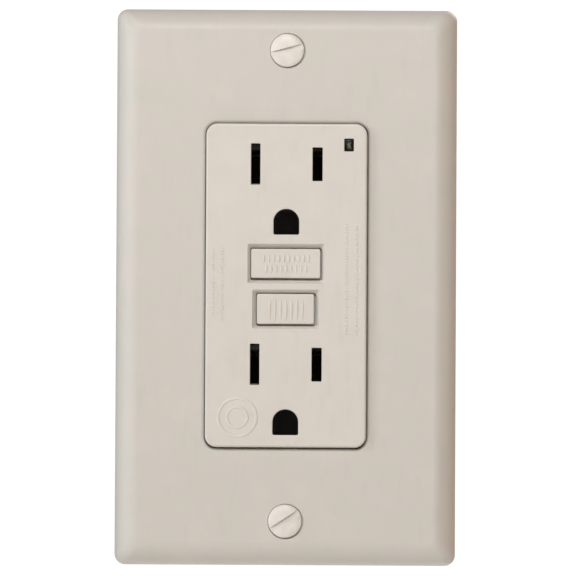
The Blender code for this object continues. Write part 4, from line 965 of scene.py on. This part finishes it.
# Each row of ribs in millimetres: its height above the cap's middle, how many, how far apart, how tall.
rib_rows = {
    "reset": ((1.05, 10, 1.02, 1.8), (-1.1, 9, 1.02, 1.8)),
    "test": ((-0.1, 7, 1.12, 4.5),),
}
for name, z, wide, tall, cap_w, cap_h in well_sizes:
    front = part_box(name)[0].y
    body = name.split("_")[0]
    mesh = bmesh.new()
    rings = []
    for step in range(6):
        turn = math.radians(90 * step / 5)
        inset = soft * (1 - math.sin(turn))
        width = cap_w * mm - 2 * inset
        height = cap_h * mm - 2 * inset
        outline = round_box(width, height, cap_corner, -play, z * mm + play, 4)
        rings.append(ring(mesh, outline, front + soft * (1 - math.cos(turn))))
    shoulder = front + 1.6 * mm
    outline = round_box(cap_w * mm, cap_h * mm, cap_corner, -play, z * mm + play, 4)
    rings.append(ring(mesh, outline, shoulder))
    skin(mesh, rings)
    mesh.faces.new(rings[0])
    mesh.faces.new(rings[-1])
    cap = as_object(name + "_front", closed(mesh))
    rest = worn_copy(name, 0.06 * mm, 1)
    low = (-9 * mm, front - 1 * mm, -9 * mm)
    high = (9 * mm, shoulder - 0.02 * mm, 9 * mm)
    carved(rest, block("front", low, high))
    ribs = []
    for number, (rise, count, step, length) in enumerate(rib_rows[body]):
        sizes = {
            "Count": count,
            "Step": step * mm,
            "Length": 0.54 * mm,
            "Width": length * mm,
            "Rise": 0.15 * mm,
            "Seed": 7 + number,
            "Least": 0.85,
            "Fineness": 3,
        }
        row = grown("row", dashes, sizes)
        start = -(count - 1) * step / 2
        row.data.transform(Matrix.Translation((start * mm, front, (z + rise) * mm)) @ facing)
        row.data.shade_smooth()
        ribs.append(row)
    carved(rest, cap, "UNION")
    button = dressed(merged(name + "_cap", settled(rest, 38), *ribs), almond)
    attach(button, body)
    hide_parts(name)

# ---- status light pipe
# A clear, slightly green acrylic rod that leads the light of the diode on the board to the face. Its
# rounded front end is the small lens at the upper right, dark and cloudy while unlit.

lens, graph, shader = new_finish("unlit_acrylic")
place = graph.nodes.new("ShaderNodeTexCoord")
centred = graph.nodes.new("ShaderNodeMapping")
centred.inputs["Location"].default_value = (-light_at[0], 0, 0.12 * mm - light_at[1])
link(graph, place.outputs["Object"], centred.inputs["Vector"])
parts = graph.nodes.new("ShaderNodeSeparateXYZ")
link(graph, centred.outputs["Vector"], parts.inputs["Vector"])
# Painted shade: the colour is lighter in the middle and fades to near-black towards the window's rim,
# with random clouds over it.
across = maths(graph, "DIVIDE", maths(graph, "ABSOLUTE", parts.outputs["X"]), 0.48 * mm)
along = maths(graph, "DIVIDE", maths(graph, "ABSOLUTE", parts.outputs["Z"]), 0.70 * mm)
rim_shade = maths(graph, "MAXIMUM", across, along)
depth = grain(graph, 1300, 2.0)
clouds = maths(graph, "MULTIPLY", maths(graph, "SUBTRACT", depth, 0.5), 1.6)
clouds_and_rim_shade = maths(graph, "ADD", rim_shade, clouds)
tint = ramp(graph, clouds_and_rim_shade, (0.125, 0.130, 0.095), (0.006, 0.006, 0.005), 0.35, 1.05)
link(graph, tint, shader.inputs["Base Color"])
link(graph, bumped(graph, depth, 0.03 * mm), shader.inputs["Normal"])
shader.inputs["Specular IOR Level"].default_value = 0.25
shader.inputs["Roughness"].default_value = 0.18
pipe = dressed(worn_copy("status_light_pipe", 0.3 * mm, 4), lens)
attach(pipe, "device")
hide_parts("status_light_pipe")

# ---- wall plate
# A thin decorator plate moulded in almond plastic, a shade deeper than the face. Its rim stands up
# from the wall, bends over in a soft bevel and ends in a flat front with a rounded window and two
# countersunk holes.

plate_low, plate_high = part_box("wall_plate")
plate_w = plate_high.x - plate_low.x
plate_h = plate_high.z - plate_low.z
front = plate_low.y
window_w = face_w + 0.4 * mm
window_h = face_h + 0.4 * mm
window_corner = face_corner + 0.2 * mm
screw_z = (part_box("plate_screw_top")[0].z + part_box("plate_screw_top")[1].z) / 2
# The rim's section from its foot to the front, in millimetres: inset, depth and corner radius.
rim = [
    (1.70, 0.0, 1.1), (0.25, 0.0, 2.1), (0.08, -0.06, 2.2), (0.0, -0.25, 2.2), (0.0, -0.9, 2.2),
    (0.06, -1.5, 2.2), (0.20, -2.2, 2.2), (0.45, -2.9, 2.15), (0.85, -3.6, 2.1), (1.4, -4.25, 2.0),
    (2.0, -4.76, 1.9), (2.65, -5.2, 1.8), (3.2, -5.48, 1.7), (3.65, -5.65, 1.6), (4.05, -5.75, 1.5),
    (4.35, -5.79, 1.45), (4.6, -5.8, 1.4),
]
mesh = bmesh.new()
rings = []
for inset, y, corner in rim:
    outline = round_box(plate_w - 2 * inset * mm, plate_h - 2 * inset * mm, corner * mm, steps=8)
    rings.append(ring(mesh, outline, y * mm))
skin(mesh, rings)
holes = []
backs = []
window_edge = 0.75 * mm
window_at = (0.07 * mm, -0.05 * mm)
hole_off = 0.12 * mm
wall = 2.2 * mm
window = lip(
    mesh,
    lambda grow: round_box(
        window_w + 2 * grow, window_h + 2 * grow, window_corner + grow, *window_at, 8
    ),
    front,
    window_edge,
    wall,
)
holes.append(window[0])
backs.append(window[-1])
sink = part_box("plate_screw_top")[1].x + 0.12 * mm
bore = 2.05 * mm
countersink = (
    (sink + 0.12 * mm, 0),
    (sink + 0.03 * mm, 0.03 * mm),
    (sink, 0.12 * mm),
    (bore, 2.0 * mm),
    (bore, wall),
)
for end in (-1, 1):
    cone = []
    for radius, depth in countersink:
        outline = circle(radius, hole_off, end * screw_z - hole_off)
        cone.append(ring(mesh, outline, front + depth))
    skin(mesh, cone)
    holes.append(cone[0])
    backs.append(cone[-1])
flat_between(mesh, rings[-1], holes)
inside = []
# The hollow behind, from the foot inwards, in millimetres: inset and depth.
hollow = ((1.70, 0.0), (1.70, -0.6), (2.5, -1.76), (5.1, -3.6))
for inset, y in hollow:
    outline = round_box(plate_w - 2 * inset * mm, plate_h - 2 * inset * mm, 1.1 * mm, steps=8)
    inside.append(ring(mesh, outline, y * mm))
skin(mesh, inside)
flat_between(mesh, inside[-1], backs)
plate = settled(as_object("decorator_plate", closed(mesh)), 50)
plate_plastic = moulded(
    "almond_plate", (0.549, 0.550, 0.506), (0.583, 0.560, 0.524), (0.44, 0.52), specular=0.4
)
dressed(plate, plate_plastic)
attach(plate, "device")
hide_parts("wall_plate")

# ---- wall plate screws
# Short steel screws with oval heads and a 6-32 thread, enamelled a shade whiter than the plate. They
# pass through its countersinks into the strap.

head_share = 0.965
slot = (1.05 * mm, 0.58 * mm, 12 * mm)
enamel = moulded(
    "screw_enamel", (0.66, 0.64, 0.60), (0.74, 0.725, 0.69), (0.34, 0.46), scale=500, specular=0.45
)
for end, slot_turn in (("top", -15), ("bottom", -33)):
    low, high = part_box(f"plate_screw_{end}")
    radius = (high.x - low.x) / 2
    head = [(0, 0), (0.25 * radius, 0.01 * mm), (0.5 * radius, 0.07 * mm), (0.72 * radius, 0.18 * mm)]
    head += [(0.86 * radius, 0.32 * mm), (0.93 * radius, 0.46 * mm), (head_share * radius, 0.62 * mm)]
    head += [(head_share * radius, 0.75 * mm), (0.94 * radius, 0.95 * mm)]
    head += [(1.725 * mm, 2.65 * mm), (1.2 * mm, 2.7 * mm), (0, 2.7 * mm)]
    shank = (1.70 * mm, 2.5 * mm, high.y - low.y)
    z = (low.z + high.z) / 2
    screw = slotted_screw(f"oval_screw_{end}", head, slot, math.radians(slot_turn), shank, enamel)
    screw.data.transform(Matrix.Translation((0, low.y, z)) @ along_y)
    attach(screw, "device")
    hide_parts(f"plate_screw_{end}")

# ---- studio
# A pale floor well below and a white surround, whose light is brownish on the right. Soft lamps
# stand above the front, at the left and behind. The camera looks almost straight at the plate from
# a little below its middle.

mesh = bmesh.new()
bmesh.ops.create_grid(mesh, x_segments=2, y_segments=2, size=4)
mesh.transform(Matrix.Translation((0, 0, -0.30)))
floor = as_object("floor", mesh)
paper, graph, shader = new_finish("pale_paper")
shader.inputs["Base Color"].default_value = (0.85, 0.85, 0.84, 1)
shader.inputs["Roughness"].default_value = 0.9
shader.inputs["Emission Color"].default_value = (1, 1, 0.98, 1)
shader.inputs["Emission Strength"].default_value = 0.25
floor.data.materials.append(paper)


def lamp(name, place, size, power, colour):
    """A square soft lamp turned towards the middle of the device."""
    data = bpy.data.lights.new(name, "AREA")
    data.shape = "SQUARE"
    data.size = size
    data.energy = power
    data.color = colour
    made = bpy.data.objects.new(name, data)
    made.location = place
    made.rotation_euler = (-Vector(place)).to_track_quat("-Z", "Y").to_euler()
    bpy.context.scene.collection.objects.link(made)


lamp("key", (-0.04, -0.60, 0.42), size=0.3, power=3.1, colour=(0.985, 0.985, 0.985))
lamp("left", (-0.9, -0.42, 0.25), size=0.3, power=3.4, colour=(0.97, 0.98, 1))
lamp("back", (0.5, 0.9, 0.6), size=0.6, power=6.0, colour=(1, 1, 1))

world = bpy.data.worlds.new("surround")
world.use_nodes = True
graph = world.node_tree
glow = graph.nodes["Background"]
direction = graph.nodes.new("ShaderNodeTexCoord")
parts = graph.nodes.new("ShaderNodeSeparateXYZ")
link(graph, direction.outputs["Generated"], parts.inputs["Vector"])
sideways = maths(graph, "MULTIPLY_ADD", parts.outputs["X"], 0.5, 0.5)
tones = graph.nodes.new("ShaderNodeValToRGB")
tones.color_ramp.elements[0].color = (0.26, 0.27, 0.28, 1)
tones.color_ramp.elements[1].color = (0.06, 0.04, 0.01, 1)
brown_side = tones.color_ramp.elements.new(0.76)
brown_side.color = (0.62, 0.24, 0.01, 1)
middle_tone = tones.color_ramp.elements.new(0.5)
middle_tone.color = (0.33, 0.325, 0.32, 1)
link(graph, sideways, tones.inputs["Fac"])
link(graph, tones.outputs["Color"], glow.inputs["Color"])
overhead = maths(graph, "MAXIMUM", parts.outputs["Z"], 0.0)
dimmer_above = maths(graph, "MULTIPLY_ADD", overhead, -0.6, 1.05)
link(graph, dimmer_above, glow.inputs["Strength"])
seen_white = graph.nodes.new("ShaderNodeBackground")
seen_white.inputs["Color"].default_value = (1, 1, 1, 1)
seen_white.inputs["Strength"].default_value = 1.05
path = graph.nodes.new("ShaderNodeLightPath")
either = graph.nodes.new("ShaderNodeMixShader")
link(graph, path.outputs["Is Camera Ray"], either.inputs["Fac"])
link(graph, glow.outputs["Background"], either.inputs[1])
link(graph, seen_white.outputs["Background"], either.inputs[2])
link(graph, either.outputs["Shader"], graph.nodes["World Output"].inputs["Surface"])
bpy.context.scene.world = world

camera_data = bpy.data.cameras.new("camera")
distance = 3.0
width_seen = 118.3967 * mm
camera_data.sensor_width = 36
camera_data.lens = camera_data.sensor_width * distance / width_seen
camera_data.clip_start = 0.1
camera_data.clip_end = 20
camera = bpy.data.objects.new("camera", camera_data)
down = math.radians(4)
roll = math.radians(0.3)
aim_at = Vector((0.0004, 0, -0.0001))
camera.location = aim_at - distance * Vector((0, math.cos(down), math.sin(down)))
aim = (aim_at - camera.location).to_track_quat("-Z", "Y").to_matrix()
camera.rotation_euler = (aim @ Matrix.Rotation(roll, 3, "Z")).to_euler()
bpy.context.scene.collection.objects.link(camera)
bpy.context.scene.camera = camera
bpy.context.scene.view_settings.view_transform = "Standard"
